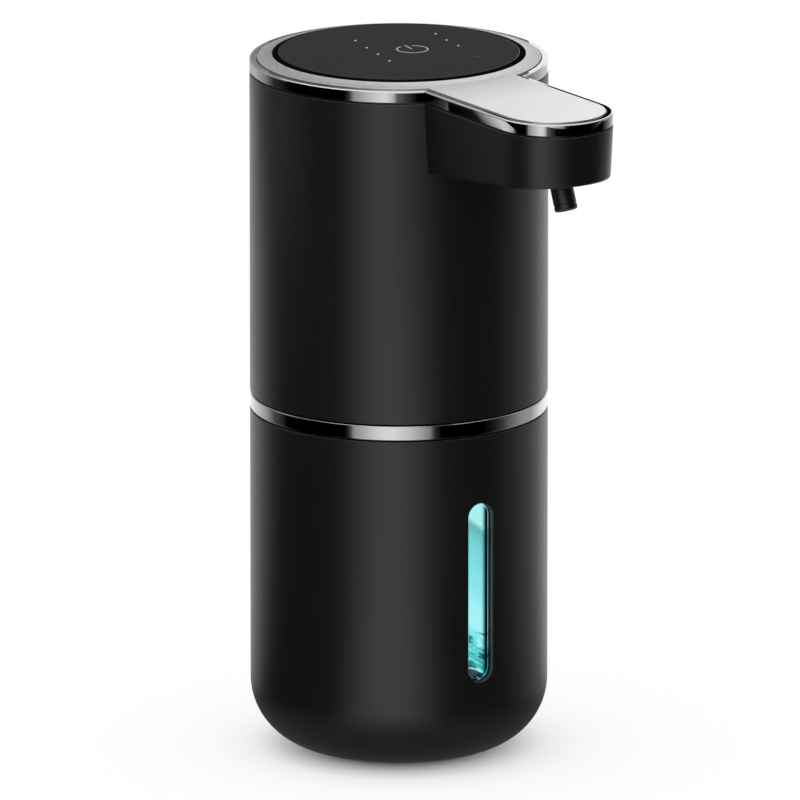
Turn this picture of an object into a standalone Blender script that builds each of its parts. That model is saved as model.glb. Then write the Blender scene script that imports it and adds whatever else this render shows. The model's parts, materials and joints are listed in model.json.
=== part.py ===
"""Automatic foam soap dispenser: a bottle that stands on the table, and a head that screws
onto its neck. The head holds the battery, the motor, a wobble pump and the spout.

Metres, +Z up. The origin is on the body's axis, under the foot pad. The spout points to -Y.
"""

import math

import bmesh
import bpy
from mathutils import Matrix, Vector
from mathutils.geometry import interpolate_bezier

# Clearances
GAP = 0.0003  # between two pieces that touch
OVERRUN = 0.0010  # how far a cutter runs past the face that it opens
CRUMB = 0.000001  # points nearer than this are one point

# Body
BODY_RADIUS = 0.0380
BOTTLE_HEIGHT = 0.0890  # table to the seam
EDGE_CHAMFER = 0.0004

# Bottle shell and foot
SHELL_WALL = 0.0018
BOTTOM_FILLET = 0.0172
FOOT_STAND = 0.0006  # how far the pad lifts the shell off the table
FOOT_PAD_THICKNESS = 0.0016
FOOT_PAD_MARGIN = 0.0038  # from the pad's edge to the start of the rounded corner
FLOOR_SKIN = 0.0011  # plastic left over the pad's recess

# Level window
SLOT_WIDTH = 0.0070
SLOT_HEIGHT = 0.0468
SLOT_BOTTOM = 0.0245
WINDOW_RECESS = 0.0011  # from the body's surface back to the window's face

# Tank
TANK_WALL = 0.0016
SHOULDER_DROP = 0.0026  # from the shell's rim down to the tank's shoulder
SHOULDER_ROUND = 0.0020
NECK_HEIGHT = 0.0122  # neck's top above the seam
THREAD_ROOM = 0.0015  # radial room between neck and collar, where the thread lies

# Head base
COLLAR_WALL = 0.0018
COLLAR_LIFT = 0.0008  # collar's lower edge above the seam
COLLAR_RELIEF = 0.0009  # how far the collar is waisted between its two lands
SKIRT_HEIGHT = 0.0070
DECK_THICKNESS = 0.0030
GASKET_THICKNESS = 0.0020
GASKET_OVERLAP = 0.0003  # gasket's inner edge inside the neck's bore

# Bright band
BAND_HEIGHT = 0.0038

# Housing and spout
HOUSING_WALL = 0.0020
HEAD_ROOM = 0.00325  # from the motor's terminals up to the board's tray
SPOUT_REACH = 0.0856  # body's axis to the spout's tip
SPOUT_HALF_WIDTH = 0.0152
SPOUT_ROOT_DEPTH = 0.0182
SPOUT_TIP_DEPTH = 0.0130
SPOUT_DRAFT = math.radians(2.8)  # lean of its sides, which makes it narrower at the foot
SPOUT_EDGE = 0.0008  # chamfer round the spout's lower edge

# Trim, inlay and panel
TRIM_HEIGHT = 0.0030
TRIM_BORDER = 0.0016
TRIM_LEDGE = 0.0012
TRIM_SKIRT_WALL = 0.0014
TRIM_SKIRT_HEIGHT = 0.0040
INLAY_THICKNESS = 0.0010
INLAY_RAISE = 0.0003  # inlay's face above the border
PANEL_MARGIN = 0.0044  # width of the satin ring round the panel
RING_RISE = 0.0008  # how far the satin ring climbs from its rim to the panel
PANEL_RAISE = 0.0004  # panel's top above the ring's inner edge
PANEL_BEVEL = 0.0013
PANEL_SEAT = 0.0017  # width of the ledge that carries the panel
PANEL_SPIGOT = 0.0015

# Board stack under the panel
GUIDE_THICKNESS = 0.0019
GUIDE_MARGIN = 0.0006
LIGHT_WELL_RADIUS = 0.0009
POWER_WELL_RADIUS = 0.0052
BOARD_THICKNESS = 0.0016
TRAY_FLOOR = 0.0014
TRAY_WALL = 0.0014
TRAY_RING_WIDTH = 0.0080
SPRING_RADIUS = 0.0040
SPRING_TIP_RADIUS = 0.0015
SPRING_WIRE = 0.00035
SPRING_TURNS = 2.5
CHIP_SIDE = 0.0070
CHIP_HEIGHT = 0.0010
CHIP_GAP_FROM_SPRING = 0.0040

# Places of the lit marks from the panel's centre, as shares of its radius
POWER_MARK_SHARES = (0.227, 0.158)
LEVEL_MARK_SHARES = ((0.016, 0.674), (-0.047, 0.407), (-0.096, 0.155), (-0.149, -0.096))
CHARGE_MARK_SHARES = ((0.689, 0.553), (0.640, 0.311), (0.606, 0.087))

# Pump
PUMP_RADIUS = 0.0130
PUMP_CASE_WALL = 0.0014
PUMP_CASE_HEIGHT = 0.0160
PUMP_CASE_TOP = 0.0020
PUMP_COVER_HEIGHT = 0.0050
VALVE_PLATE_HEIGHT = 0.0030
PUMP_SEAT_WALL = 0.0015
PUMP_SEAT_HEIGHT = 0.0062
CUSHION_HEIGHT = 0.0026
CUSHION_WIDTH = 0.0030
NIPPLE_RADIUS = 0.0018
NIPPLE_BORE = 0.0009
OUTLET_LENGTH = 0.0060
INLET_SHELF = 0.0008  # web between the dip tube and the seal
SEAL_WALL = 0.0012
BAY_SPACING = 0.0015  # between the pump's seat and the battery's cradle

# Diaphragm and wobble drive
DIAPHRAGM_THICKNESS = 0.0014
CUP_RADIUS = 0.0033
CUP_HEIGHT = 0.0024
CUP_TAPER = 0.0006
CUP_PITCH_RADIUS = 0.0068
CUP_COUNT = 3
PIVOT_RISE = 0.0030  # the wobble's centre above the diaphragm
WOBBLE_TILT = math.radians(6.0)
WOBBLE_ARM_RADIUS = 0.0094
WOBBLE_ARM_WIDTH = 0.0046
WOBBLE_THICKNESS = 0.0014
WOBBLE_LIFT = 0.0034  # plate's middle above the pivot, along the pin
WOBBLE_HUB_RADIUS = 0.0029
WOBBLE_HUB_HEIGHT = 0.0034
PIN_RADIUS = 0.0008
HUB_RADIUS = 0.0056
HUB_HEIGHT = 0.0042
HUB_LIFT = 0.0064  # hub's lower face above the pivot

# Motor
MOTOR_RADIUS = 0.0120
MOTOR_LENGTH = 0.0260
MOTOR_BOSS_RADIUS = 0.0032
MOTOR_BOSS_HEIGHT = 0.0016
MOTOR_CHAMFER = 0.0010
SHAFT_RADIUS = 0.0010
SHAFT_REACH = 0.0060  # shaft's length inside the motor
END_CAP_HEIGHT = 0.0026
END_CAP_MARGIN = 0.0006
TERMINAL_WIDTH = 0.0026
TERMINAL_THICKNESS = 0.0006
TERMINAL_HEIGHT = 0.0032

# Battery
CELL_RADIUS = 0.0091
CELL_LENGTH = 0.0495
CELL_CAP_RADIUS = 0.0028
CELL_CAP_HEIGHT = 0.0010
CELL_CHAMFER = 0.0007
CRADLE_WALL = 0.0012
CRADLE_FLOOR = 0.0012
CRADLE_HEIGHT = 0.0300
CRADLE_MOUTH = math.radians(110.0)

# Suction side
DIP_TUBE_RADIUS = 0.0030
DIP_TUBE_WALL = 0.0008
DIP_TUBE_CLEARANCE = 0.0014  # strainer's foot above the tank's floor
SOCKET_WALL = 0.0017
SOCKET_DROP = 0.0076
STRAINER_WALL = 0.0012
STRAINER_HEIGHT = 0.0084
STRAINER_FLOOR = 0.0012
STRAINER_SLOT_WIDTH = 0.0014
STRAINER_SLOT_HEIGHT = 0.0034
STRAINER_SLOTS = 2

# Vent valve
VENT_STEM_RADIUS = 0.0012
VENT_CAP_RADIUS = 0.0034
VENT_CAP_THICKNESS = 0.0009
VENT_BULB_RADIUS = 0.0020
VENT_BULB_HEIGHT = 0.0016
VENT_REACH = 0.0195  # from the body's axis

# Foam hose and nozzle
HOSE_RADIUS = 0.0026
HOSE_WALL = 0.0011
HOSE_LOW_BEND = 0.0090
HOSE_HIGH_BEND = 0.0120
HOSE_SPACE = 0.0008  # between the hose and the housing's wall
HOSE_CLIMB_SHARES = ((0.92, 0.22), (0.50, 0.52), (0.08, 0.82))  # of the pump's offset, of the rise
NOZZLE_SETBACK = 0.0117  # from the spout's tip to where its axis crosses the underside
NOZZLE_TILT = math.radians(22.0)
NOZZLE_RADIUS = 0.0029
NOZZLE_DROP = 0.0073
NOZZLE_BORE = 0.0014
NOZZLE_TIP_ROUND = 0.0005
FLANGE_RADIUS = 0.0044
FLANGE_THICKNESS = 0.0010
CHAMBER_RADIUS = 0.0036
CHAMBER_HEIGHT = 0.0056
CHAMBER_ROOF = 0.0010
BARB_LENGTH = 0.0040
INSERT_RADIUS = 0.0021
INSERT_LENGTH = 0.0026
SCREEN_THICKNESS = 0.0004

# Hand sensor
SENSOR_SHARE = 0.433  # lens centre's share of the way from the body's wall to the nozzle
LENS_RADIUS = 0.0040
LENS_FLANGE_WIDTH = 0.0012
LENS_FLANGE_THICKNESS = 0.0010
SENSOR_BOARD_WIDTH = 0.0130
SENSOR_BOARD_LENGTH = 0.0104
SENSOR_BOARD_THICKNESS = 0.0010
EYE_RADIUS = 0.0012
EYE_HEIGHT = 0.0012
EYE_SPACING = 0.0038

# Charging port
PORT_HEIGHT = 0.0072  # port's middle above the deck
PORT_COVER_HALF_WIDTH = 0.0064
PORT_COVER_HALF_HEIGHT = 0.0037
PORT_COVER_ROUND = 0.0016
PORT_COVER_THICKNESS = 0.0008
PORT_PLUG_HALF_WIDTH = 0.0047
PORT_PLUG_HALF_HEIGHT = 0.0019
PORT_PLUG_DEPTH = 0.0011
PORT_SWING_ROOM = 0.0006  # room round the plug, so that it swings out
SOCKET_HALF_WIDTH = 0.00447
SOCKET_HALF_HEIGHT = 0.00158
SOCKET_LENGTH = 0.0073
SOCKET_SHEET = 0.0003
TONGUE_HALF_WIDTH = 0.0033
TONGUE_HALF_HEIGHT = 0.00035
TONGUE_SETBACK = 0.0008
CHARGE_BOARD_WIDTH = 0.0160
CHARGE_BOARD_THICKNESS = 0.0012
CHARGE_POST_RADIUS = 0.0020
CHARGE_POST_INSET = 0.0030

# Facets round a full turn
ROUND = 48
HIDDEN_ROUND = 30
SMALL_ROUND = 20
TINY_ROUND = 12
HOSE_ROUND = 8
WELL_ROUND = 8
PINHOLE_ROUND = 6
WIRE_ROUND = 5

# Steps along other curves
CORNER_STEPS = 6
SPRING_STEPS = 7  # in one turn
PORT_COVER_STEPS = 12

# Heights that follow from the sizes above
SEAM_TOP = BOTTLE_HEIGHT + GAP
HOUSING_BOTTOM = SEAM_TOP + BAND_HEIGHT + GAP
NECK_TOP = BOTTLE_HEIGHT + NECK_HEIGHT
GASKET_BOTTOM = NECK_TOP + GAP
DECK_BOTTOM = GASKET_BOTTOM + GASKET_THICKNESS + GAP
DECK_TOP = DECK_BOTTOM + DECK_THICKNESS
SHELL_FLOOR_TOP = FOOT_PAD_THICKNESS + GAP + FLOOR_SKIN
TANK_BOTTOM = SHELL_FLOOR_TOP + GAP
TANK_FLOOR_TOP = TANK_BOTTOM + TANK_WALL

# Radii that follow
SHELL_BORE = BODY_RADIUS - SHELL_WALL
TANK_RADIUS = SHELL_BORE - GAP
HOUSING_BORE = BODY_RADIUS - HOUSING_WALL
BASE_RADIUS = HOUSING_BORE - GAP
COLLAR_BORE = BASE_RADIUS - COLLAR_RELIEF - COLLAR_WALL
NECK_RADIUS = COLLAR_BORE - THREAD_ROOM
NECK_BORE = NECK_RADIUS - TANK_WALL
PANEL_RADIUS = BODY_RADIUS - TRIM_BORDER - PANEL_MARGIN
PANEL_HOLE = PANEL_RADIUS - PANEL_SEAT
SKIRT_INSET = HOUSING_WALL + GAP
TRAY_RADIUS = BODY_RADIUS - SKIRT_INSET - TRIM_SKIRT_WALL - GAP

# Pump and battery stand side by side, centred on the body's axis
PUMP_SEAT_RADIUS = PUMP_RADIUS + GAP + PUMP_SEAT_WALL
CRADLE_RADIUS = CELL_RADIUS + GAP + CRADLE_WALL
BAY_HALF = PUMP_SEAT_RADIUS + CRADLE_RADIUS + BAY_SPACING / 2
PUMP_X = PUMP_SEAT_RADIUS - BAY_HALF
CELL_X = BAY_HALF - CRADLE_RADIUS

# Levels in the pump's stack
CUSHION_BOTTOM = DECK_TOP + GAP
COVER_BOTTOM = CUSHION_BOTTOM + CUSHION_HEIGHT + GAP
COVER_TOP = COVER_BOTTOM + PUMP_COVER_HEIGHT
OUTLET_LEVEL = COVER_BOTTOM + PUMP_COVER_HEIGHT / 2
PLATE_BOTTOM = COVER_TOP + GAP
PLATE_TOP = PLATE_BOTTOM + VALVE_PLATE_HEIGHT
DIAPHRAGM_BOTTOM = PLATE_TOP + GAP
DIAPHRAGM_TOP = DIAPHRAGM_BOTTOM + DIAPHRAGM_THICKNESS
CASE_BOTTOM = DIAPHRAGM_TOP + GAP
CASE_TOP = CASE_BOTTOM + PUMP_CASE_HEIGHT
PIVOT_LEVEL = DIAPHRAGM_TOP + PIVOT_RISE
HUB_BOTTOM = PIVOT_LEVEL + HUB_LIFT
HUB_TOP = HUB_BOTTOM + HUB_HEIGHT
MOTOR_BOTTOM = CASE_TOP + GAP
MOTOR_TOP = MOTOR_BOTTOM + MOTOR_LENGTH
END_CAP_TOP = MOTOR_TOP + GAP + END_CAP_HEIGHT
SHAFT_BORE = SHAFT_RADIUS + GAP

# The board, the panel and the trim stand over the motor, and they set the housing's height
TRAY_BOTTOM = END_CAP_TOP + TERMINAL_HEIGHT + HEAD_ROOM
TRAY_FLOOR_TOP = TRAY_BOTTOM + TRAY_FLOOR
BOARD_BOTTOM = TRAY_FLOOR_TOP + GAP
GUIDE_BOTTOM = BOARD_BOTTOM + BOARD_THICKNESS + GAP
SPIGOT_BOTTOM = GUIDE_BOTTOM + GUIDE_THICKNESS + GAP
LEDGE_TOP = SPIGOT_BOTTOM + PANEL_SPIGOT
LEDGE_BOTTOM = LEDGE_TOP - TRIM_LEDGE
TRAY_TOP = LEDGE_BOTTOM - GAP
INLAY_BOTTOM = LEDGE_TOP + GAP
INLAY_TOP = INLAY_BOTTOM + INLAY_THICKNESS
PANEL_TOP = INLAY_TOP + RING_RISE + PANEL_RAISE
TRIM_TOP = INLAY_TOP - INLAY_RAISE
TRIM_BOTTOM = TRIM_TOP - TRIM_HEIGHT
SKIRT_BOTTOM = TRIM_BOTTOM - TRIM_SKIRT_HEIGHT
HOUSING_TOP = TRIM_BOTTOM - GAP

# Suction side
SOCKET_BOTTOM = DECK_BOTTOM - SOCKET_DROP
DIP_TUBE_TOP = DECK_BOTTOM
DIP_TUBE_BORE = DIP_TUBE_RADIUS - DIP_TUBE_WALL
STRAINER_BOTTOM = TANK_FLOOR_TOP + DIP_TUBE_CLEARANCE
DIP_TUBE_BOTTOM = STRAINER_BOTTOM + STRAINER_FLOOR + STRAINER_SLOT_HEIGHT + GAP
SEAL_BORE = NIPPLE_RADIUS + GAP
SEAL_RADIUS = SEAL_BORE + SEAL_WALL
SHELF_BOTTOM = DIP_TUBE_TOP + GAP
NIPPLE_BOTTOM = SHELF_BOTTOM + INLET_SHELF

# Spout
SPOUT_SLOPE = (SPOUT_ROOT_DEPTH - SPOUT_TIP_DEPTH) / (SPOUT_REACH - BODY_RADIUS)
SPOUT_SLOPE_ANGLE = math.atan(SPOUT_SLOPE)
SPOUT_LEAN = math.tan(SPOUT_DRAFT)
SPOUT_TIP_CENTRE = SPOUT_HALF_WIDTH - SPOUT_REACH
NOZZLE_REACH = SPOUT_REACH - NOZZLE_SETBACK
SENSOR_REACH = BODY_RADIUS + SENSOR_SHARE * (NOZZLE_REACH - BODY_RADIUS)

# Charging port
PORT_LEVEL = DECK_TOP + PORT_HEIGHT
PORT_RECESS_BACK = BODY_RADIUS - PORT_COVER_THICKNESS - GAP
SOCKET_MOUTH = BODY_RADIUS - PORT_COVER_THICKNESS - PORT_PLUG_DEPTH - GAP
CHARGE_BOARD_TOP = PORT_LEVEL - SOCKET_HALF_HEIGHT - GAP
CHARGE_BOARD_BOTTOM = CHARGE_BOARD_TOP - CHARGE_BOARD_THICKNESS

# Finishes: colour, roughness, metallic
BLACK_PLASTIC = ((0.012, 0.012, 0.013), 0.42, 0.0)
INNER_PLASTIC = ((0.030, 0.030, 0.032), 0.55, 0.0)
PALE_PLASTIC = ((0.62, 0.62, 0.60), 0.45, 0.0)
CLEAR_PLASTIC = ((0.70, 0.86, 0.86), 0.10, 0.0)
GLOSS_BLACK = ((0.006, 0.006, 0.007), 0.08, 0.0)
CHROME = ((0.80, 0.80, 0.81), 0.06, 1.0)
SATIN_METAL = ((0.70, 0.70, 0.70), 0.34, 1.0)
STEEL = ((0.52, 0.52, 0.54), 0.28, 1.0)
BLACK_RUBBER = ((0.016, 0.016, 0.016), 0.75, 0.0)
SILICONE = ((0.78, 0.78, 0.76), 0.50, 0.0)
GREEN_BOARD = ((0.020, 0.110, 0.050), 0.50, 0.0)
BLUE_WRAP = ((0.030, 0.120, 0.340), 0.35, 0.0)


# Scene and finish


def clear_scene():
    for obj in list(bpy.data.objects):
        bpy.data.objects.remove(obj, do_unlink=True)


def material_of(name, finish):
    colour, roughness, metallic = finish
    material = bpy.data.materials.new(name)
    material.use_nodes = True
    shader = material.node_tree.nodes["Principled BSDF"]
    shader.inputs["Base Color"].default_value = (*colour, 1)
    shader.inputs["Roughness"].default_value = roughness
    shader.inputs["Metallic"].default_value = metallic
    material.diffuse_color = (*colour, 1)
    return material


def object_from(name, bm, finish):
    """Puts the mesh in the scene, faces out and round sides smooth."""
    bmesh.ops.remove_doubles(bm, verts=bm.verts, dist=CRUMB)
    bmesh.ops.recalc_face_normals(bm, faces=bm.faces)
    mesh = bpy.data.meshes.new(name)
    bm.to_mesh(mesh)
    bm.free()
    mesh.shade_smooth()
    mesh.set_sharp_from_angle(angle=math.radians(30))
    obj = bpy.data.objects.new(name, mesh)
    bpy.context.scene.collection.objects.link(obj)
    if finish:
        mesh.materials.append(material_of(name, finish))
    return obj


# Shapes


def turned(name, profile, finish=None, facets=SMALL_ROUND, at=(0, 0)):
    """Turns a closed outline of (radius, height) points about the upright axis at that place."""
    bm = bmesh.new()
    verts = [bm.verts.new((radius, 0, height)) for radius, height in profile]
    count = len(verts)
    on_axis = profile[0][0] < CRUMB and profile[-1][0] < CRUMB
    edges = [bm.edges.new((verts[i], verts[(i + 1) % count])) for i in range(count - on_axis)]
    bmesh.ops.spin(
        bm,
        geom=verts + edges,
        cent=(0, 0, 0),
        axis=(0, 0, 1),
        angle=math.tau,
        steps=facets,
        use_merge=True,
    )
    obj = object_from(name, bm, finish)
    obj.location = (*at, 0)
    return obj


def lofted(name, rings, finish=None, closed=False):
    """Joins rings of equal count by quads, with a face over each end unless the rings close."""
    bm = bmesh.new()
    loops = [[bm.verts.new(point) for point in ring] for ring in rings]
    pairs = list(zip(loops, loops[1:]))
    if closed:
        pairs.append((loops[-1], loops[0]))
    else:
        bm.faces.new(loops[0])
        bm.faces.new(loops[-1])
    for lower, upper in pairs:
        for i in range(len(lower)):
            j = (i + 1) % len(lower)
            bm.faces.new((lower[i], lower[j], upper[j], upper[i]))
    return object_from(name, bm, finish)


def prism(name, outline, low, high, finish=None):
    """An upright prism over an outline of (x, y) points."""
    return lofted(name, [[(x, y, z) for x, y in outline] for z in (low, high)], finish)


def box(name, low, high, finish=None):
    outline = [(low[0], low[1]), (high[0], low[1]), (high[0], high[1]), (low[0], high[1])]
    return prism(name, outline, low[2], high[2], finish)


def rod(name, radius, low, high, finish=None, facets=SMALL_ROUND, at=(0, 0)):
    return turned(name, [(0, low), (radius, low), (radius, high), (0, high)], finish, facets, at)


def ring(name, inner, outer, low, high, finish=None, facets=SMALL_ROUND, at=(0, 0)):
    profile = [(inner, low), (outer, low), (outer, high), (inner, high)]
    return turned(name, profile, finish, facets, at)


def arc(centre, radius, start, end, steps):
    """Points on an arc, both ends included, with the angles in degrees."""
    angles = [math.radians(start + (end - start) * i / steps) for i in range(steps + 1)]
    return [(centre[0] + radius * math.cos(a), centre[1] + radius * math.sin(a)) for a in angles]


def mirror_outline(half):
    """Closes an outline given for x > 0, from the -Y end to the +Y end."""
    return half + [(-x, y) for x, y in reversed(half)]


def stadium(half_width, half_height, centre=(0, 0)):
    """An upright slot outline with full round ends."""
    straight = half_height - half_width
    upper = arc((centre[0], centre[1] + straight), half_width, 0, 180, CORNER_STEPS)
    lower = arc((centre[0], centre[1] - straight), half_width, 180, 360, CORNER_STEPS)
    return upper + lower


def keyhole(inset):
    """Outline of the body and its spout together, drawn in by the inset."""
    radius = BODY_RADIUS - inset
    half = SPOUT_HALF_WIDTH - inset
    corner = math.degrees(math.asin(half / radius))
    tip = arc((0, SPOUT_TIP_CENTRE), half, -90, 0, CORNER_STEPS)
    body = arc((0, 0), radius, corner - 90, 90, ROUND // 2)
    outline = mirror_outline(tip + body)
    return [p for i, p in enumerate(outline) if math.dist(p, outline[i - 1]) > CRUMB]


# Building


def in_cut(target, tool, operation):
    tool.hide_render = True
    tool.display_type = "WIRE"
    modifier = target.modifiers.new(tool.name, "BOOLEAN")
    modifier.operation = operation
    modifier.solver = "EXACT"
    modifier.use_self = True
    modifier.object = tool


def cut(target, *tools):
    for tool in tools:
        in_cut(target, tool, "DIFFERENCE")


def join(target, *tools):
    for tool in tools:
        in_cut(target, tool, "UNION")


def moved(obj, location, tilt=0.0, turn=0.0):
    """Places an object, tilted about X and then turned about Z."""
    obj.location = location
    obj.rotation_euler = (tilt, 0, turn)
    return obj


def axis_empty(name, location, tilt=0.0):
    empty = bpy.data.objects.new(name, None)
    empty.empty_display_size = BODY_RADIUS
    bpy.context.scene.collection.objects.link(empty)
    return moved(empty, location, tilt)


def weld(piece):
    """Makes one point of those that a Boolean leaves almost in one place."""
    modifier = piece.modifiers.new("weld", "WELD")
    modifier.merge_threshold = CRUMB


def carry(parent, pieces):
    """Parents the finished pieces and leaves them where they are."""
    turn = parent.rotation_euler.to_matrix().to_4x4()
    inverse = (Matrix.Translation(parent.location) @ turn).inverted()
    for piece in pieces:
        piece.parent = parent
        piece.matrix_parent_inverse = inverse
        if piece.modifiers:
            weld(piece)


# Bottle


def bottle_shell():
    corner = SHELL_BORE - (BOTTOM_FILLET - SHELL_WALL)
    pad_hole = foot_pad_radius() + GAP
    recess_top = FOOT_PAD_THICKNESS + GAP
    profile = [(0, recess_top), (pad_hole, recess_top), (pad_hole, FOOT_STAND)]
    profile += arc(
        (BODY_RADIUS - BOTTOM_FILLET, FOOT_STAND + BOTTOM_FILLET), BOTTOM_FILLET, -90, 0, CORNER_STEPS
    )
    profile += [
        (BODY_RADIUS, BOTTLE_HEIGHT - EDGE_CHAMFER),
        (BODY_RADIUS - EDGE_CHAMFER, BOTTLE_HEIGHT),
        (SHELL_BORE, BOTTLE_HEIGHT),
    ]
    inner = BOTTOM_FILLET - SHELL_WALL
    profile += arc((corner, SHELL_FLOOR_TOP + inner), inner, 0, -90, CORNER_STEPS - 1)
    profile += [(0, SHELL_FLOOR_TOP)]
    shell = turned("bottle_shell", profile, BLACK_PLASTIC, ROUND)
    cut(shell, slot_prism("slot_cutter", 0, SHELL_BORE - OVERRUN, BODY_RADIUS + OVERRUN))
    return shell


def slot_prism(name, inset, near, far, finish=None):
    """The level window's outline, drawn in by the inset, from one distance to another."""
    middle = SLOT_BOTTOM + SLOT_HEIGHT / 2
    outline = stadium(SLOT_WIDTH / 2 - inset, SLOT_HEIGHT / 2 - inset, (0, middle))
    return lofted(name, [[(x, -reach, z) for x, z in outline] for reach in (near, far)], finish)


def tank():
    outer = BOTTOM_FILLET - SHELL_WALL - GAP
    inner = outer - TANK_WALL
    shoulder = BOTTLE_HEIGHT - SHOULDER_DROP
    bore = TANK_RADIUS - TANK_WALL
    profile = [(0, TANK_BOTTOM)]
    profile += arc((TANK_RADIUS - outer, TANK_BOTTOM + outer), outer, -90, 0, CORNER_STEPS - 1)
    profile += arc((TANK_RADIUS - SHOULDER_ROUND, shoulder - SHOULDER_ROUND), SHOULDER_ROUND, 0, 90, 2)
    profile += [(NECK_RADIUS, shoulder), (NECK_RADIUS, NECK_TOP), (NECK_BORE, NECK_TOP)]
    profile += [(NECK_BORE, shoulder - TANK_WALL), (bore, shoulder - TANK_WALL - SHOULDER_ROUND)]
    profile += arc((bore - inner, TANK_FLOOR_TOP + inner), inner, 0, -90, CORNER_STEPS - 1)
    profile += [(0, TANK_FLOOR_TOP)]
    vessel = turned("tank", profile, CLEAR_PLASTIC, HIDDEN_ROUND)
    near = TANK_RADIUS - TANK_WALL / 2
    join(vessel, slot_prism("window_rib", GAP, near, BODY_RADIUS - WINDOW_RECESS))
    return vessel


def foot_pad_radius():
    return BODY_RADIUS - BOTTOM_FILLET - FOOT_PAD_MARGIN


def foot_pad():
    radius = foot_pad_radius()
    profile = [
        (0, 0),
        (radius - EDGE_CHAMFER, 0),
        (radius, EDGE_CHAMFER),
        (radius, FOOT_PAD_THICKNESS),
        (0, FOOT_PAD_THICKNESS),
    ]
    return turned("foot_pad", profile, BLACK_RUBBER, HIDDEN_ROUND)


# Seal, band and head base


def neck_gasket():
    return ring(
        "neck_gasket",
        NECK_BORE - GASKET_OVERLAP,
        COLLAR_BORE - GAP,
        GASKET_BOTTOM,
        GASKET_BOTTOM + GASKET_THICKNESS,
        SILICONE,
        HIDDEN_ROUND,
    )


def seam_band():
    top = SEAM_TOP + BAND_HEIGHT
    profile = [
        (HOUSING_BORE, SEAM_TOP),
        (BODY_RADIUS - EDGE_CHAMFER, SEAM_TOP),
        (BODY_RADIUS, SEAM_TOP + EDGE_CHAMFER),
        (BODY_RADIUS, top - EDGE_CHAMFER),
        (BODY_RADIUS - EDGE_CHAMFER, top),
        (HOUSING_BORE, top),
    ]
    return turned("seam_band", profile, CHROME, ROUND)


def head_base():
    low = BOTTLE_HEIGHT + COLLAR_LIFT
    waist = BASE_RADIUS - COLLAR_RELIEF
    skirt_top = low + SKIRT_HEIGHT
    profile = [
        (0, DECK_BOTTOM),
        (COLLAR_BORE, DECK_BOTTOM),
        (COLLAR_BORE, low),
        (BASE_RADIUS, low),
        (BASE_RADIUS, skirt_top),
        (waist, skirt_top + COLLAR_RELIEF),
        (waist, DECK_BOTTOM - COLLAR_RELIEF),
        (BASE_RADIUS, DECK_BOTTOM),
        (BASE_RADIUS, DECK_TOP),
        (0, DECK_TOP),
    ]
    base = turned("head_base", profile, INNER_PLASTIC, HIDDEN_ROUND)
    pump = (PUMP_X, 0)
    tube_hole = DIP_TUBE_RADIUS + GAP
    sunk = DECK_THICKNESS / 2
    join(
        base,
        rod("dip_socket", tube_hole + SOCKET_WALL, SOCKET_BOTTOM, DECK_BOTTOM + sunk, at=pump),
        ring(
            "pump_seat",
            PUMP_SEAT_RADIUS - PUMP_SEAT_WALL,
            PUMP_SEAT_RADIUS,
            DECK_TOP - sunk,
            DECK_TOP + PUMP_SEAT_HEIGHT,
            facets=HIDDEN_ROUND,
            at=pump,
        ),
    )
    for side, place in zip(("left", "right"), charge_posts()):
        join(
            base,
            rod(
                f"charge_post_{side}",
                CHARGE_POST_RADIUS,
                DECK_TOP - sunk,
                CHARGE_BOARD_BOTTOM - GAP,
                facets=TINY_ROUND,
                at=place,
            ),
        )
    cut(
        base,
        inlet_way(),
        rod(
            "vent_bore",
            VENT_STEM_RADIUS + GAP,
            DECK_BOTTOM - OVERRUN,
            DECK_TOP + OVERRUN,
            facets=TINY_ROUND,
            at=vent_place(),
        ),
        rod(
            "outlet_notch",
            HOSE_RADIUS + GAP,
            0,
            OUTLET_LENGTH + PUMP_SEAT_WALL + OVERRUN,
        ),
    )
    notch = bpy.data.objects["outlet_notch"]
    moved(notch, (PUMP_X, -PUMP_RADIUS + OVERRUN, OUTLET_LEVEL), math.radians(90))
    return base


def inlet_way():
    """The stepped bore through socket and deck: dip tube, shelf, and the seal's pocket."""
    tube = DIP_TUBE_RADIUS + GAP
    pocket = SEAL_RADIUS + GAP
    profile = [
        (0, SOCKET_BOTTOM - OVERRUN),
        (tube, SOCKET_BOTTOM - OVERRUN),
        (tube, SHELF_BOTTOM),
        (SEAL_BORE, SHELF_BOTTOM),
        (SEAL_BORE, SHELF_BOTTOM + INLET_SHELF),
        (pocket, SHELF_BOTTOM + INLET_SHELF),
        (pocket, DECK_TOP + OVERRUN),
        (0, DECK_TOP + OVERRUN),
    ]
    return turned("inlet_way", profile, at=(PUMP_X, 0))


def vent_place():
    """Between the pump and the battery, toward the spout."""
    return (0, -VENT_REACH)


# Housing


def underside(reach):
    """Height of the spout's underside at that distance from the body's axis."""
    return HOUSING_TOP - SPOUT_ROOT_DEPTH + SPOUT_SLOPE * (reach - BODY_RADIUS)


def spout_outline(inset, back):
    """The spout's plan from the tip to a straight back edge at that distance from the axis."""
    half = SPOUT_HALF_WIDTH - inset
    tip = arc((0, SPOUT_TIP_CENTRE), half, -90, 0, CORNER_STEPS)
    return mirror_outline(tip + [(half, -back)])


def spout_ring(inset, back, upright_to, lift=None, level=None):
    """The spout's outline laid on its sloping underside, or at one level.

    Below the height that its sides stand upright to, each point leans in along its own side.
    """
    half = SPOUT_HALF_WIDTH - inset
    points = []
    for x, y in spout_outline(inset, back):
        out_x, out_y = x / half, min(y - SPOUT_TIP_CENTRE, 0) / half
        if lift is None:
            drop = max(upright_to - level, 0)
        else:
            drop = (upright_to - underside(-y) - lift) / (1 + SPOUT_LEAN * SPOUT_SLOPE * out_y)
        y -= out_y * drop * SPOUT_LEAN
        height = level if lift is None else underside(-y) + lift
        points.append((x - out_x * drop * SPOUT_LEAN, y, height))
    return points


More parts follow.
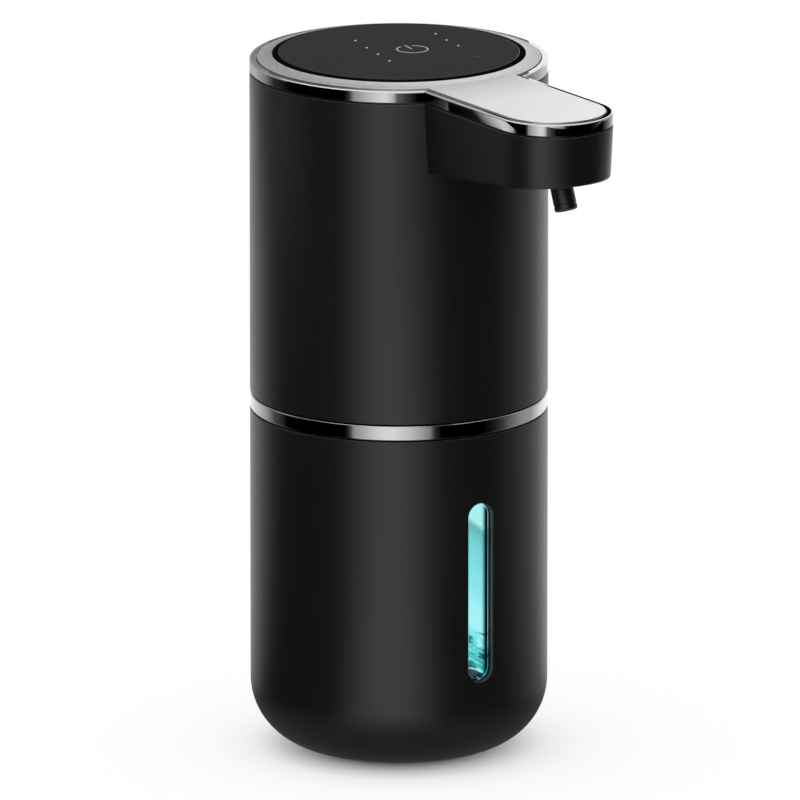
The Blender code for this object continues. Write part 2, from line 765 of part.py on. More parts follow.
def housing_solid():
    profile = [
        (0, HOUSING_BOTTOM),
        (BODY_RADIUS - EDGE_CHAMFER, HOUSING_BOTTOM),
        (BODY_RADIUS, HOUSING_BOTTOM + EDGE_CHAMFER),
        (BODY_RADIUS, HOUSING_TOP - EDGE_CHAMFER),
        (BODY_RADIUS - EDGE_CHAMFER, HOUSING_TOP),
        (0, HOUSING_TOP),
    ]
    return turned("head_housing", profile, BLACK_PLASTIC, ROUND)


def spout_block():
    back = math.sqrt(HOUSING_BORE**2 - SPOUT_HALF_WIDTH**2) - HOUSING_WALL
    rings = [
        spout_ring(SPOUT_EDGE, back, HOUSING_TOP, lift=0),
        spout_ring(0, back, HOUSING_TOP, lift=SPOUT_EDGE),
        spout_ring(0, back, HOUSING_TOP, level=HOUSING_TOP - EDGE_CHAMFER),
        spout_ring(EDGE_CHAMFER, back, HOUSING_TOP, level=HOUSING_TOP),
    ]
    return lofted("spout_block", rings)


def spout_cavity():
    back = BODY_RADIUS / 2
    rings = [
        spout_ring(HOUSING_WALL, back, SKIRT_BOTTOM, lift=HOUSING_WALL),
        spout_ring(HOUSING_WALL, back, SKIRT_BOTTOM, level=SKIRT_BOTTOM),
        spout_ring(HOUSING_WALL, back, SKIRT_BOTTOM, level=HOUSING_TOP + OVERRUN),
    ]
    return lofted("spout_cavity", rings)


def head_housing():
    housing = housing_solid()
    join(housing, spout_block())
    bore = rod(
        "housing_bore", HOUSING_BORE, HOUSING_BOTTOM - OVERRUN, HOUSING_TOP + OVERRUN, facets=ROUND
    )
    nozzle_hole = rod(
        "nozzle_hole", NOZZLE_RADIUS + GAP, -HOUSING_WALL * 2, HOUSING_WALL * 2, facets=TINY_ROUND
    )
    place_on_nozzle(nozzle_hole)
    lens_hole = rod("lens_hole", LENS_RADIUS + GAP, -HOUSING_WALL, HOUSING_WALL * 2)
    place_on_sensor(lens_hole)
    cut(housing, spout_cavity(), bore, nozzle_hole, lens_hole, port_recess(), port_window())
    return housing


def place_on_nozzle(obj):
    """Local +Z then runs up the nozzle's axis from the spout's underside."""
    return moved(obj, (0, -NOZZLE_REACH, underside(NOZZLE_REACH)), -NOZZLE_TILT)


def place_on_sensor(obj):
    """Local +Z then stands square on the spout's underside at the lens."""
    return moved(obj, (0, -SENSOR_REACH, underside(SENSOR_REACH)), -SPOUT_SLOPE_ANGLE)


# Trim, inlay and panel


def top_trim():
    inner = SKIRT_INSET + TRIM_SKIRT_WALL
    levels = [
        (inner, LEDGE_BOTTOM),
        (inner, SKIRT_BOTTOM),
        (SKIRT_INSET, SKIRT_BOTTOM),
        (SKIRT_INSET, TRIM_BOTTOM),
        (0, TRIM_BOTTOM),
        (0, TRIM_TOP - EDGE_CHAMFER),
        (EDGE_CHAMFER, TRIM_TOP),
        (TRIM_BORDER, TRIM_TOP),
        (TRIM_BORDER, LEDGE_TOP),
    ]
    rings = [[(x, y, z) for x, y in keyhole(inset)] for inset, z in levels]
    trim = lofted("top_trim", rings, CHROME)
    hole = rod(
        "panel_seat_hole", PANEL_HOLE, LEDGE_BOTTOM - OVERRUN, LEDGE_TOP + OVERRUN, facets=ROUND
    )
    cut(trim, hole)
    return trim


def satin_ring():
    """The ring's climb from a foot sunk in the plate. The panel's hole then trims its crest."""
    foot = BODY_RADIUS - TRIM_BORDER - GAP - EDGE_CHAMFER
    sunk = INLAY_TOP - EDGE_CHAMFER / 2
    slope = (INLAY_TOP + RING_RISE - sunk) / (foot - PANEL_RADIUS - GAP)
    crest = sunk + slope * (foot - PANEL_RADIUS)
    profile = [(PANEL_RADIUS, sunk), (foot, sunk), (PANEL_RADIUS, crest)]
    return turned("satin_ring", profile, facets=ROUND)


def top_inlay():
    edge = TRIM_BORDER + GAP
    chamfer = EDGE_CHAMFER / 2
    levels = [(edge, INLAY_BOTTOM), (edge, INLAY_TOP - chamfer), (edge + chamfer, INLAY_TOP)]
    rings = [[(x, y, z) for x, y in keyhole(inset)] for inset, z in levels]
    inlay = lofted("top_inlay", rings, SATIN_METAL)
    join(inlay, satin_ring())
    hole = rod(
        "panel_hole", PANEL_RADIUS + GAP, INLAY_BOTTOM - OVERRUN, PANEL_TOP + OVERRUN, facets=ROUND
    )
    cut(inlay, hole)
    return inlay


def touch_panel():
    shelf = LEDGE_TOP + GAP
    profile = [
        (0, SPIGOT_BOTTOM),
        (PANEL_HOLE - GAP, SPIGOT_BOTTOM),
        (PANEL_HOLE - GAP, shelf),
        (PANEL_RADIUS, shelf),
        (PANEL_RADIUS, PANEL_TOP - PANEL_RAISE / 2),
        (PANEL_RADIUS - PANEL_BEVEL, PANEL_TOP),
        (0, PANEL_TOP),
    ]
    return turned("touch_panel", profile, GLOSS_BLACK, ROUND)


# Board stack


def light_guide():
    radius = PANEL_HOLE - GAP - GUIDE_MARGIN
    top = GUIDE_BOTTOM + GUIDE_THICKNESS
    guide = rod("light_guide", radius, GUIDE_BOTTOM, top, INNER_PLASTIC, HIDDEN_ROUND)
    low = GUIDE_BOTTOM - OVERRUN
    high = top + OVERRUN
    for i, shares in enumerate(LEVEL_MARK_SHARES + CHARGE_MARK_SHARES):
        place = on_panel(shares)
        cut(guide, rod(f"light_well_{i}", LIGHT_WELL_RADIUS, low, high, facets=WELL_ROUND, at=place))
    place = on_panel(POWER_MARK_SHARES)
    cut(guide, rod("power_well", POWER_WELL_RADIUS, low, high, facets=TINY_ROUND, at=place))
    return guide


def on_panel(shares):
    return tuple(share * PANEL_RADIUS for share in shares)


def touch_spring():
    """A conical contact spring that stands on the board inside the power mark's well."""
    low = BOARD_BOTTOM + BOARD_THICKNESS + GAP + SPRING_WIRE
    high = SPIGOT_BOTTOM - GAP - SPRING_WIRE
    steps = round(SPRING_TURNS * SPRING_STEPS)
    middle = Vector((*on_panel(POWER_MARK_SHARES), low))
    path = []
    for i in range(steps + 1):
        angle = math.tau * i / SPRING_STEPS
        reach = SPRING_RADIUS + (SPRING_TIP_RADIUS - SPRING_RADIUS) * i / steps
        rise = (high - low) * i / steps
        path.append(middle + Vector((reach * math.cos(angle), reach * math.sin(angle), rise)))
    return lofted("touch_spring", tube_rings(path, SPRING_WIRE, WIRE_ROUND), STEEL)


def control_board():
    radius = TRAY_RADIUS - TRAY_WALL - GAP
    board = rod(
        "control_board", radius, BOARD_BOTTOM, BOARD_BOTTOM + BOARD_THICKNESS, GREEN_BOARD, HIDDEN_ROUND
    )
    x = on_panel(POWER_MARK_SHARES)[0] - CHIP_GAP_FROM_SPRING - CHIP_SIDE
    low = (x, -CHIP_SIDE, BOARD_BOTTOM - CHIP_HEIGHT)
    high = (x + CHIP_SIDE, 0, BOARD_BOTTOM + BOARD_THICKNESS / 2)
    join(board, box("controller_chip", low, high))
    return board


def board_tray():
    inner = TRAY_RADIUS - TRAY_WALL
    profile = [
        (TRAY_RADIUS - TRAY_RING_WIDTH, TRAY_BOTTOM),
        (TRAY_RADIUS, TRAY_BOTTOM),
        (TRAY_RADIUS, TRAY_TOP),
        (inner, TRAY_TOP),
        (inner, TRAY_FLOOR_TOP),
        (TRAY_RADIUS - TRAY_RING_WIDTH, TRAY_FLOOR_TOP),
    ]
    return turned("board_tray", profile, INNER_PLASTIC, HIDDEN_ROUND)


# Battery


def battery_cell():
    low = cell_bottom()
    can_top = low + CELL_LENGTH - CELL_CAP_HEIGHT
    profile = [
        (0, low),
        (CELL_RADIUS - CELL_CHAMFER, low),
        (CELL_RADIUS, low + CELL_CHAMFER),
        (CELL_RADIUS, can_top - CELL_CHAMFER),
        (CELL_RADIUS - CELL_CHAMFER, can_top),
        (CELL_CAP_RADIUS, can_top),
        (CELL_CAP_RADIUS, can_top + CELL_CAP_HEIGHT),
        (0, can_top + CELL_CAP_HEIGHT),
    ]
    return turned("battery_cell", profile, BLUE_WRAP, at=(CELL_X, 0))


def cell_bottom():
    return DECK_TOP + GAP + CRADLE_FLOOR + GAP


def battery_cradle():
    """A floor with a wall that grips the cell and is open on the side away from the pump."""
    low = DECK_TOP + GAP
    cradle = ring(
        "battery_cradle",
        CRADLE_RADIUS - CRADLE_WALL,
        CRADLE_RADIUS,
        low,
        low + CRADLE_HEIGHT,
        INNER_PLASTIC,
        at=(CELL_X, 0),
    )
    half = math.degrees(CRADLE_MOUTH) / 2
    mouth = [(0, 0)] + arc((0, 0), CRADLE_RADIUS * 2, -half, half, CORNER_STEPS)
    wedge = prism("cradle_mouth", mouth, low - OVERRUN, low + CRADLE_HEIGHT + OVERRUN)
    floor = rod(
        "cradle_floor", CRADLE_RADIUS - CRADLE_WALL / 2, low, low + CRADLE_FLOOR, at=(CELL_X, 0)
    )
    cut(cradle, moved(wedge, (CELL_X, 0, 0)))
    join(cradle, floor)
    return cradle


# Motor


def motor_can():
    boss_low = MOTOR_BOTTOM - MOTOR_BOSS_HEIGHT
    bore_top = MOTOR_BOTTOM + SHAFT_REACH + GAP
    profile = [
        (0, bore_top),
        (SHAFT_BORE, bore_top),
        (SHAFT_BORE, boss_low),
        (MOTOR_BOSS_RADIUS, boss_low),
        (MOTOR_BOSS_RADIUS, MOTOR_BOTTOM),
        (MOTOR_RADIUS - MOTOR_CHAMFER, MOTOR_BOTTOM),
        (MOTOR_RADIUS, MOTOR_BOTTOM + MOTOR_CHAMFER),
        (MOTOR_RADIUS, MOTOR_TOP),
        (0, MOTOR_TOP),
    ]
    return turned("motor_can", profile, STEEL, at=(PUMP_X, 0))


def motor_end_cap():
    low = MOTOR_TOP + GAP
    radius = MOTOR_RADIUS - END_CAP_MARGIN
    cap = rod("motor_end_cap", radius, low, END_CAP_TOP, PALE_PLASTIC, at=(PUMP_X, 0))
    half = TERMINAL_WIDTH / 2
    for side in (-1, 1):
        x = PUMP_X + side * MOTOR_RADIUS / 2
        near = (x - TERMINAL_THICKNESS / 2, -half, END_CAP_TOP - OVERRUN)
        far = (x + TERMINAL_THICKNESS / 2, half, END_CAP_TOP + TERMINAL_HEIGHT)
        join(cap, box(f"terminal_{side + 1}", near, far))
    return cap


def motor_shaft():
    low = HUB_TOP - HUB_HEIGHT / 2
    return rod(
        "motor_shaft",
        SHAFT_RADIUS,
        low,
        MOTOR_BOTTOM + SHAFT_REACH,
        STEEL,
        TINY_ROUND,
        at=(PUMP_X, 0),
    )


# Wobble drive


def along_pin(obj):
    """Local +Z then runs up the tilted pin from the pivot."""
    return moved(obj, (PUMP_X, 0, PIVOT_LEVEL), WOBBLE_TILT)


def eccentric_hub():
    middle = HUB_BOTTOM + HUB_HEIGHT / 2
    hub = rod("eccentric_hub", HUB_RADIUS, HUB_BOTTOM, HUB_TOP, PALE_PLASTIC, at=(PUMP_X, 0))
    shaft_hole = rod(
        "hub_bore", SHAFT_BORE, middle - GAP, HUB_TOP + OVERRUN, facets=TINY_ROUND, at=(PUMP_X, 0)
    )
    pin_hole = rod("hub_pin_bore", PIN_RADIUS + GAP, 0, pin_reach() + GAP, facets=TINY_ROUND)
    cut(hub, shaft_hole, along_pin(pin_hole))
    return hub


def pin_reach():
    """How far the pin runs from the pivot: to just under the motor's shaft."""
    return HUB_LIFT + HUB_HEIGHT / 2 - GAP * 3


def wobble_pin():
    low = WOBBLE_LIFT - WOBBLE_HUB_HEIGHT / 2 - GAP
    pin = rod("wobble_pin", PIN_RADIUS, low, pin_reach(), STEEL, TINY_ROUND)
    return along_pin(pin)


def wobble_plate():
    """Three arms round a hub that runs on the pin: it rocks and doesn't turn."""
    half = WOBBLE_HUB_HEIGHT / 2
    plate = rod("wobble_plate", WOBBLE_HUB_RADIUS, WOBBLE_LIFT - half, WOBBLE_LIFT + half, PALE_PLASTIC)
    along_pin(plate)
    low = WOBBLE_LIFT - WOBBLE_THICKNESS / 2
    for i in range(CUP_COUNT):
        outline = stadium(WOBBLE_ARM_WIDTH / 2, WOBBLE_ARM_RADIUS / 2, (0, WOBBLE_ARM_RADIUS / 2))
        arm = prism(f"wobble_arm_{i}", outline, low, low + WOBBLE_THICKNESS)
        along_pin(arm)
        turn = Matrix.Rotation(math.tau * i / CUP_COUNT, 4, "Z")
        arm.data.transform(turn)
        join(plate, arm)
    bore = rod(
        "wobble_bore",
        PIN_RADIUS + GAP,
        WOBBLE_LIFT - half - OVERRUN,
        WOBBLE_LIFT + half + OVERRUN,
        facets=TINY_ROUND,
    )
    cut(plate, along_pin(bore))
    return plate


# Pump body


def pump_case():
    bore = PUMP_RADIUS - PUMP_CASE_WALL
    ceiling = CASE_TOP - PUMP_CASE_TOP
    hole = MOTOR_BOSS_RADIUS + GAP
    profile = [
        (bore, CASE_BOTTOM),
        (PUMP_RADIUS, CASE_BOTTOM),
        (PUMP_RADIUS, CASE_TOP),
        (hole, CASE_TOP),
        (hole, ceiling),
        (bore, ceiling),
    ]
    return turned("pump_case", profile, PALE_PLASTIC, at=(PUMP_X, 0))


def cup_places():
    """Centres of the pump's cups, the first one under the wobble plate's first arm."""
    angles = [math.pi / 2 + math.tau * i / CUP_COUNT for i in range(CUP_COUNT)]
    reach = CUP_PITCH_RADIUS
    return [(PUMP_X + reach * math.cos(a), reach * math.sin(a)) for a in angles]


def pump_diaphragm():
    sheet = rod(
        "pump_diaphragm", PUMP_RADIUS, DIAPHRAGM_BOTTOM, DIAPHRAGM_TOP, BLACK_RUBBER, at=(PUMP_X, 0)
    )
    low = DIAPHRAGM_BOTTOM + DIAPHRAGM_THICKNESS / 2
    high = DIAPHRAGM_TOP + CUP_HEIGHT
    profile = [(0, low), (CUP_RADIUS, low), (CUP_RADIUS - CUP_TAPER, high), (0, high)]
    for i, place in enumerate(cup_places()):
        join(sheet, turned(f"diaphragm_cup_{i}", profile, facets=TINY_ROUND, at=place))
    return sheet


def valve_plate():
    plate = rod("valve_plate", PUMP_RADIUS, PLATE_BOTTOM, PLATE_TOP, PALE_PLASTIC, at=(PUMP_X, 0))
    low = PLATE_BOTTOM - OVERRUN
    high = PLATE_TOP + OVERRUN
    for i, place in enumerate(cup_places()):
        cut(plate, rod(f"valve_port_{i}", NIPPLE_BORE, low, high, facets=PINHOLE_ROUND, at=place))
    return plate


def pump_cover():
    """The cover with the inlet nipple under it and the outlet nipple at its side."""
    cover = rod("pump_cover", PUMP_RADIUS, COVER_BOTTOM, COVER_TOP, PALE_PLASTIC, at=(PUMP_X, 0))
    inlet = rod(
        "inlet_nipple", NIPPLE_RADIUS, NIPPLE_BOTTOM, OUTLET_LEVEL, facets=TINY_ROUND, at=(PUMP_X, 0)
    )
    inlet_hole = rod(
        "inlet_nipple_bore",
        NIPPLE_BORE,
        NIPPLE_BOTTOM - OVERRUN,
        COVER_BOTTOM,
        facets=WELL_ROUND,
        at=(PUMP_X, 0),
    )
    reach = PUMP_RADIUS + OUTLET_LENGTH
    outlet = rod("outlet_nipple", hose_bore() - GAP, PUMP_RADIUS / 2, reach, facets=TINY_ROUND)
    outlet_hole = rod(
        "outlet_nipple_bore", NIPPLE_BORE / 2, PUMP_RADIUS, reach + OVERRUN, facets=PINHOLE_ROUND
    )
    for piece in (outlet, outlet_hole):
        moved(piece, (PUMP_X, 0, OUTLET_LEVEL), math.radians(90))
    join(cover, inlet, outlet)
    cut(cover, inlet_hole, outlet_hole)
    return cover


def pump_cushion():
    return ring(
        "pump_cushion",
        PUMP_RADIUS - CUSHION_WIDTH,
        PUMP_RADIUS,
        CUSHION_BOTTOM,
        CUSHION_BOTTOM + CUSHION_HEIGHT,
        BLACK_RUBBER,
        at=(PUMP_X, 0),
    )


def inlet_seal():
    return ring(
        "inlet_seal",
        SEAL_BORE,
        SEAL_RADIUS,
        NIPPLE_BOTTOM + GAP,
        COVER_BOTTOM - GAP,
        SILICONE,
        TINY_ROUND,
        at=(PUMP_X, 0),
    )


# Suction side


def dip_tube():
    return ring(
        "dip_tube",
        DIP_TUBE_BORE,
        DIP_TUBE_RADIUS,
        DIP_TUBE_BOTTOM,
        DIP_TUBE_TOP,
        SILICONE,
        TINY_ROUND,
        at=(PUMP_X, 0),
    )


def intake_strainer():
    """A cup on the tube's end, with crossed slots through its foot."""
    bore = DIP_TUBE_RADIUS + GAP
    outer = bore + STRAINER_WALL
    floor = STRAINER_BOTTOM + STRAINER_FLOOR
    top = STRAINER_BOTTOM + STRAINER_HEIGHT
    step = DIP_TUBE_BOTTOM - GAP
    profile = [
        (0, STRAINER_BOTTOM),
        (outer, STRAINER_BOTTOM),
        (outer, top),
        (bore, top),
        (bore, step),
        (DIP_TUBE_BORE, step),
        (DIP_TUBE_BORE, floor),
        (0, floor),
    ]
    strainer = turned("intake_strainer", profile, PALE_PLASTIC, at=(PUMP_X, 0))
    half = STRAINER_SLOT_WIDTH / 2
    reach = outer + OVERRUN
    low = STRAINER_BOTTOM - OVERRUN
    high = STRAINER_BOTTOM + STRAINER_SLOT_HEIGHT
    for i in range(STRAINER_SLOTS):
        slot = box(f"strainer_slot_{i}", (-reach, -half, low), (reach, half, high))
        moved(slot, (PUMP_X, 0, 0), 0, math.pi * i / STRAINER_SLOTS)
        cut(strainer, slot)
    return strainer


def vent_valve():
    """A rubber mushroom: its cap seals on the deck and its bulb holds it from below."""
    low = DECK_BOTTOM - GAP
    high = DECK_TOP + GAP
    profile = [
        (0, low - VENT_BULB_HEIGHT),
        (VENT_BULB_RADIUS / 2, low - VENT_BULB_HEIGHT),
        (VENT_BULB_RADIUS, low),
        (VENT_STEM_RADIUS, low),
        (VENT_STEM_RADIUS, high),
        (VENT_CAP_RADIUS, high),
        (VENT_CAP_RADIUS / 2, high + VENT_CAP_THICKNESS),
        (0, high + VENT_CAP_THICKNESS),
    ]
    return turned("vent_valve", profile, BLACK_RUBBER, TINY_ROUND, at=vent_place())


# Foam side


def hose_bore():
    return HOSE_RADIUS - HOSE_WALL


def tube_rings(path, radius, sides):
    """Rings of points round a path, square to it and without twist."""
    rings = []
    normal = None
    for i, point in enumerate(path):
        ahead = path[min(i + 1, len(path) - 1)]
        behind = path[max(i - 1, 0)]
        along = (ahead - behind).normalized()
        if normal is None:
            normal = along.orthogonal().normalized()
        normal = (normal - along * normal.dot(along)).normalized()
        across = along.cross(normal)
        turns = [math.tau * k / sides for k in range(sides)]
        rings.append([point + (normal * math.cos(t) + across * math.sin(t)) * radius for t in turns])
    return rings


def smooth_path(points, steps):
    """A curve through the points, at each one parallel to the line between its neighbours."""
    ends = [points[0] * 2 - points[1]] + points + [points[-1] * 2 - points[-2]]
    path = []
    for a, b, c, d in zip(ends, ends[1:], ends[2:], ends[3:]):
        leaving = b + (c - a) / 6
        arriving = c - (d - b) / 6
        path += interpolate_bezier(b, leaving, arriving, c, steps + 1)[:-1]
    return path + [points[-1]]


def barb_place():
    """How far up the nozzle's axis the side inlet lies."""
    return nozzle_floor() + FLANGE_THICKNESS + CHAMBER_HEIGHT - CHAMBER_ROOF - hose_bore()


def nozzle_floor():
    """How far up the nozzle's axis its flange clears the spout's floor."""
    lean = NOZZLE_TILT - SPOUT_SLOPE_ANGLE
    return HOUSING_WALL / math.cos(lean) + FLANGE_RADIUS * math.tan(lean) + GAP


def hose_route():
    """From the pump's outlet up inside the housing, then forward over the sensor."""
    start = PUMP_RADIUS + PUMP_SEAT_WALL + GAP * 2
    room = HOUSING_BORE - HOSE_RADIUS - HOSE_SPACE
    climb = math.sqrt(room**2 - PUMP_X**2)
    barb = barb_root()
    low = arc((HOSE_LOW_BEND - climb, OUTLET_LEVEL + HOSE_LOW_BEND), HOSE_LOW_BEND, 270, 180, 2)
    high = arc((-climb - HOSE_HIGH_BEND, barb.z - HOSE_HIGH_BEND), HOSE_HIGH_BEND, 0, 90, 2)
    foot = low[-1][1]
    rise = high[0][1] - foot
    nipple_end = PUMP_RADIUS + OUTLET_LENGTH
    points = [Vector((PUMP_X, -reach, OUTLET_LEVEL)) for reach in (start, nipple_end)]
    points += [Vector((PUMP_X, y, z)) for y, z in low]
    for x_share, rise_share in HOSE_CLIMB_SHARES:
        points.append(Vector((PUMP_X * x_share, -climb, foot + rise * rise_share)))
    points += [Vector((0, y, z)) for y, z in high]
    points.append(Vector((0, -SENSOR_REACH, barb.z)))
    points.append(Vector((0, barb.y + hose_setback(), barb.z)))
    return points


def barb_root():
    """Where the level barb meets the axis of the chamber."""
    return nozzle_point(Vector((0, 0, barb_place())))


def hose_setback():
    """How far from the nozzle's axis the hose's end clears the tilted chamber."""
    return CHAMBER_RADIUS / math.cos(NOZZLE_TILT) + HOSE_RADIUS * math.tan(NOZZLE_TILT) + GAP


def foam_hose():
    path = smooth_path(hose_route(), 2)
    outer = tube_rings(path, HOSE_RADIUS, HOSE_ROUND)
    inner = tube_rings(path, hose_bore(), HOSE_ROUND)
    return lofted("foam_hose", outer + inner[::-1], SILICONE, closed=True)


def nozzle_point(local):
    """A point of the nozzle's own frame in the part's frame."""
    tilt = Matrix.Rotation(-NOZZLE_TILT, 4, "X")
    return Vector((0, -NOZZLE_REACH, underside(NOZZLE_REACH))) + (tilt @ local.to_4d()).to_3d()


def nozzle_body():
    low = -NOZZLE_DROP
    floor = nozzle_floor()
    shelf = floor + FLANGE_THICKNESS
    roof = shelf + CHAMBER_HEIGHT
    pocket = low + INSERT_LENGTH + SCREEN_THICKNESS + GAP * 3
    profile = [
        (0, roof - CHAMBER_ROOF),
        (NOZZLE_BORE, roof - CHAMBER_ROOF),
        (NOZZLE_BORE, pocket),
        (INSERT_RADIUS + GAP, pocket),
        (INSERT_RADIUS + GAP, low),
        (NOZZLE_RADIUS - NOZZLE_TIP_ROUND / 2, low),
        (NOZZLE_RADIUS, low + NOZZLE_TIP_ROUND),
        (NOZZLE_RADIUS, floor),
        (FLANGE_RADIUS, floor),
        (FLANGE_RADIUS, shelf),
        (CHAMBER_RADIUS, shelf),
        (CHAMBER_RADIUS, roof),
        (0, roof),
    ]
    body = turned("nozzle_body", profile, BLACK_PLASTIC)
    place_on_nozzle(body)
    reach = hose_setback() + BARB_LENGTH
    barb = rod("nozzle_barb", hose_bore() - GAP, CHAMBER_RADIUS / 2, reach, facets=TINY_ROUND)
    barb_hole = rod("barb_bore", NIPPLE_BORE / 2, 0, reach + OVERRUN, facets=PINHOLE_ROUND)
    for piece in (barb, barb_hole):
        moved(piece, barb_root(), math.radians(-90))
    join(body, barb)
    cut(body, barb_hole)
    return body


def foam_screen():
    low = GAP * 2 + INSERT_LENGTH - NOZZLE_DROP
    screen = rod("foam_screen", INSERT_RADIUS, low, low + SCREEN_THICKNESS, STEEL, TINY_ROUND)
    return place_on_nozzle(screen)


def nozzle_insert():
    low = GAP - NOZZLE_DROP
    insert = ring(
        "nozzle_insert",
        NOZZLE_BORE,
        INSERT_RADIUS,
        low,
        low + INSERT_LENGTH,
        BLACK_PLASTIC,
        TINY_ROUND,
    )
    return place_on_nozzle(insert)


# Hand sensor


def sensor_stack():
    """Height of the lens flange, the eyes and the board over the spout's underside."""
    flange = HOUSING_WALL + GAP + LENS_FLANGE_THICKNESS
    return flange + GAP + EYE_HEIGHT + SENSOR_BOARD_THICKNESS


def sensor_window():
    shelf = HOUSING_WALL + GAP
    rim = LENS_RADIUS + LENS_FLANGE_WIDTH
    profile = [
        (0, 0),
        (LENS_RADIUS, 0),
        (LENS_RADIUS, shelf),
        (rim, shelf),
        (rim, shelf + LENS_FLANGE_THICKNESS),
        (0, shelf + LENS_FLANGE_THICKNESS),
    ]
    return place_on_sensor(turned("sensor_window", profile, GLOSS_BLACK))


def sensor_board():
    """A small board face down over the lens, with a sender and a receiver."""
    top = sensor_stack()
    low = top - SENSOR_BOARD_THICKNESS
    half = (SENSOR_BOARD_WIDTH / 2, SENSOR_BOARD_LENGTH / 2)
    board = box("sensor_board", (-half[0], -half[1], low), (half[0], half[1], top), GREEN_BOARD)
    for side in (-1, 1):
        eye = rod(
            f"sensor_eye_{side + 1}",
            EYE_RADIUS,
            low - EYE_HEIGHT,
            low + SENSOR_BOARD_THICKNESS / 2,
            facets=TINY_ROUND,
            at=(side * EYE_SPACING / 2, 0),
        )
        eye.data.transform(Matrix.Translation(eye.location))
        join(board, place_on_sensor(eye))
    return place_on_sensor(board)


# Charging port


def rounded_height(x, half_width, half_height, corner):
    """Half height of a rounded rectangle at that distance from its middle."""
    past = max(abs(x) - (half_width - corner), 0)
    return half_height - corner + math.sqrt(max(corner**2 - past**2, 0))


def port_plate(name, half_width, half_height, corner, front, back, finish=None):
    """A rounded plate that follows the body's curve between two radii."""
    rings = []
    for i in range(PORT_COVER_STEPS + 1):
        x = -half_width * math.cos(math.pi * i / PORT_COVER_STEPS)
        half = rounded_height(x, half_width, half_height, corner)
        near = math.sqrt(back**2 - x**2)
        far = math.sqrt(front**2 - x**2)
        low = PORT_LEVEL - half
        high = PORT_LEVEL + half
        rings.append([(x, far, low), (x, far, high), (x, near, high), (x, near, low)])
    return lofted(name, rings, finish)


def port_recess():
    return port_plate(
        "port_recess",
        PORT_COVER_HALF_WIDTH + GAP,
        PORT_COVER_HALF_HEIGHT + GAP,
        PORT_COVER_ROUND + GAP,
        BODY_RADIUS + OVERRUN,
        PORT_RECESS_BACK,
    )


def port_prism(name, half_width, half_height, near, far, finish=None):
    """A straight plug shape through the wall, round at both ends."""
    outline = [(z, x) for x, z in stadium(half_height, half_width)]
    return lofted(name, [[(x, y, PORT_LEVEL + z) for x, z in outline] for y in (near, far)], finish)


def port_window():
    return port_prism(
        "port_window",
        PORT_PLUG_HALF_WIDTH + PORT_SWING_ROOM,
        PORT_PLUG_HALF_HEIGHT + PORT_SWING_ROOM,
        HOUSING_BORE - OVERRUN,
        BODY_RADIUS,
    )


def port_plug():
    plug = port_plate(
        "port_plug",
        PORT_COVER_HALF_WIDTH,
        PORT_COVER_HALF_HEIGHT,
        PORT_COVER_ROUND,
        BODY_RADIUS,
        BODY_RADIUS - PORT_COVER_THICKNESS,
        BLACK_RUBBER,
    )
    boss = port_prism(
        "port_plug_boss",
        PORT_PLUG_HALF_WIDTH,
        PORT_PLUG_HALF_HEIGHT,
        BODY_RADIUS - PORT_COVER_THICKNESS - PORT_PLUG_DEPTH,
        BODY_RADIUS - PORT_COVER_THICKNESS / 2,
    )
    join(plug, boss)
    return plug


def usb_socket():
    back = SOCKET_MOUTH - SOCKET_LENGTH
    shell = port_prism(
        "usb_socket", SOCKET_HALF_WIDTH, SOCKET_HALF_HEIGHT, back, SOCKET_MOUTH, STEEL
    )
    hollow = port_prism(
        "socket_hollow",
        SOCKET_HALF_WIDTH - SOCKET_SHEET,
        SOCKET_HALF_HEIGHT - SOCKET_SHEET,
        back + SOCKET_SHEET * 3,
        SOCKET_MOUTH + OVERRUN,
    )
    tongue = box(
        "socket_tongue",
        (-TONGUE_HALF_WIDTH, back + SOCKET_SHEET, PORT_LEVEL - TONGUE_HALF_HEIGHT),
        (TONGUE_HALF_WIDTH, SOCKET_MOUTH - TONGUE_SETBACK, PORT_LEVEL + TONGUE_HALF_HEIGHT),
    )
    cut(shell, hollow)
    join(shell, tongue)
    return shell


def charge_board_span():
    """Nearest and farthest edge of the charging board from the body's axis."""
    half = CHARGE_BOARD_WIDTH / 2
    far = math.sqrt(HOUSING_BORE**2 - half**2) - GAP * 2
    return (SOCKET_MOUTH - SOCKET_LENGTH - CHARGE_POST_INSET * 2, far)


def charge_posts():
    near = charge_board_span()[0]
    x = CHARGE_BOARD_WIDTH / 2 - CHARGE_POST_INSET
    return ((-x, near + CHARGE_POST_INSET), (x, near + CHARGE_POST_INSET))


def charge_board():
    near, far = charge_board_span()
    half = CHARGE_BOARD_WIDTH / 2
    return box(
        "charge_board",
        (-half, near, CHARGE_BOARD_BOTTOM),
        (half, far, CHARGE_BOARD_TOP),
        GREEN_BOARD,
    )


# Assembly


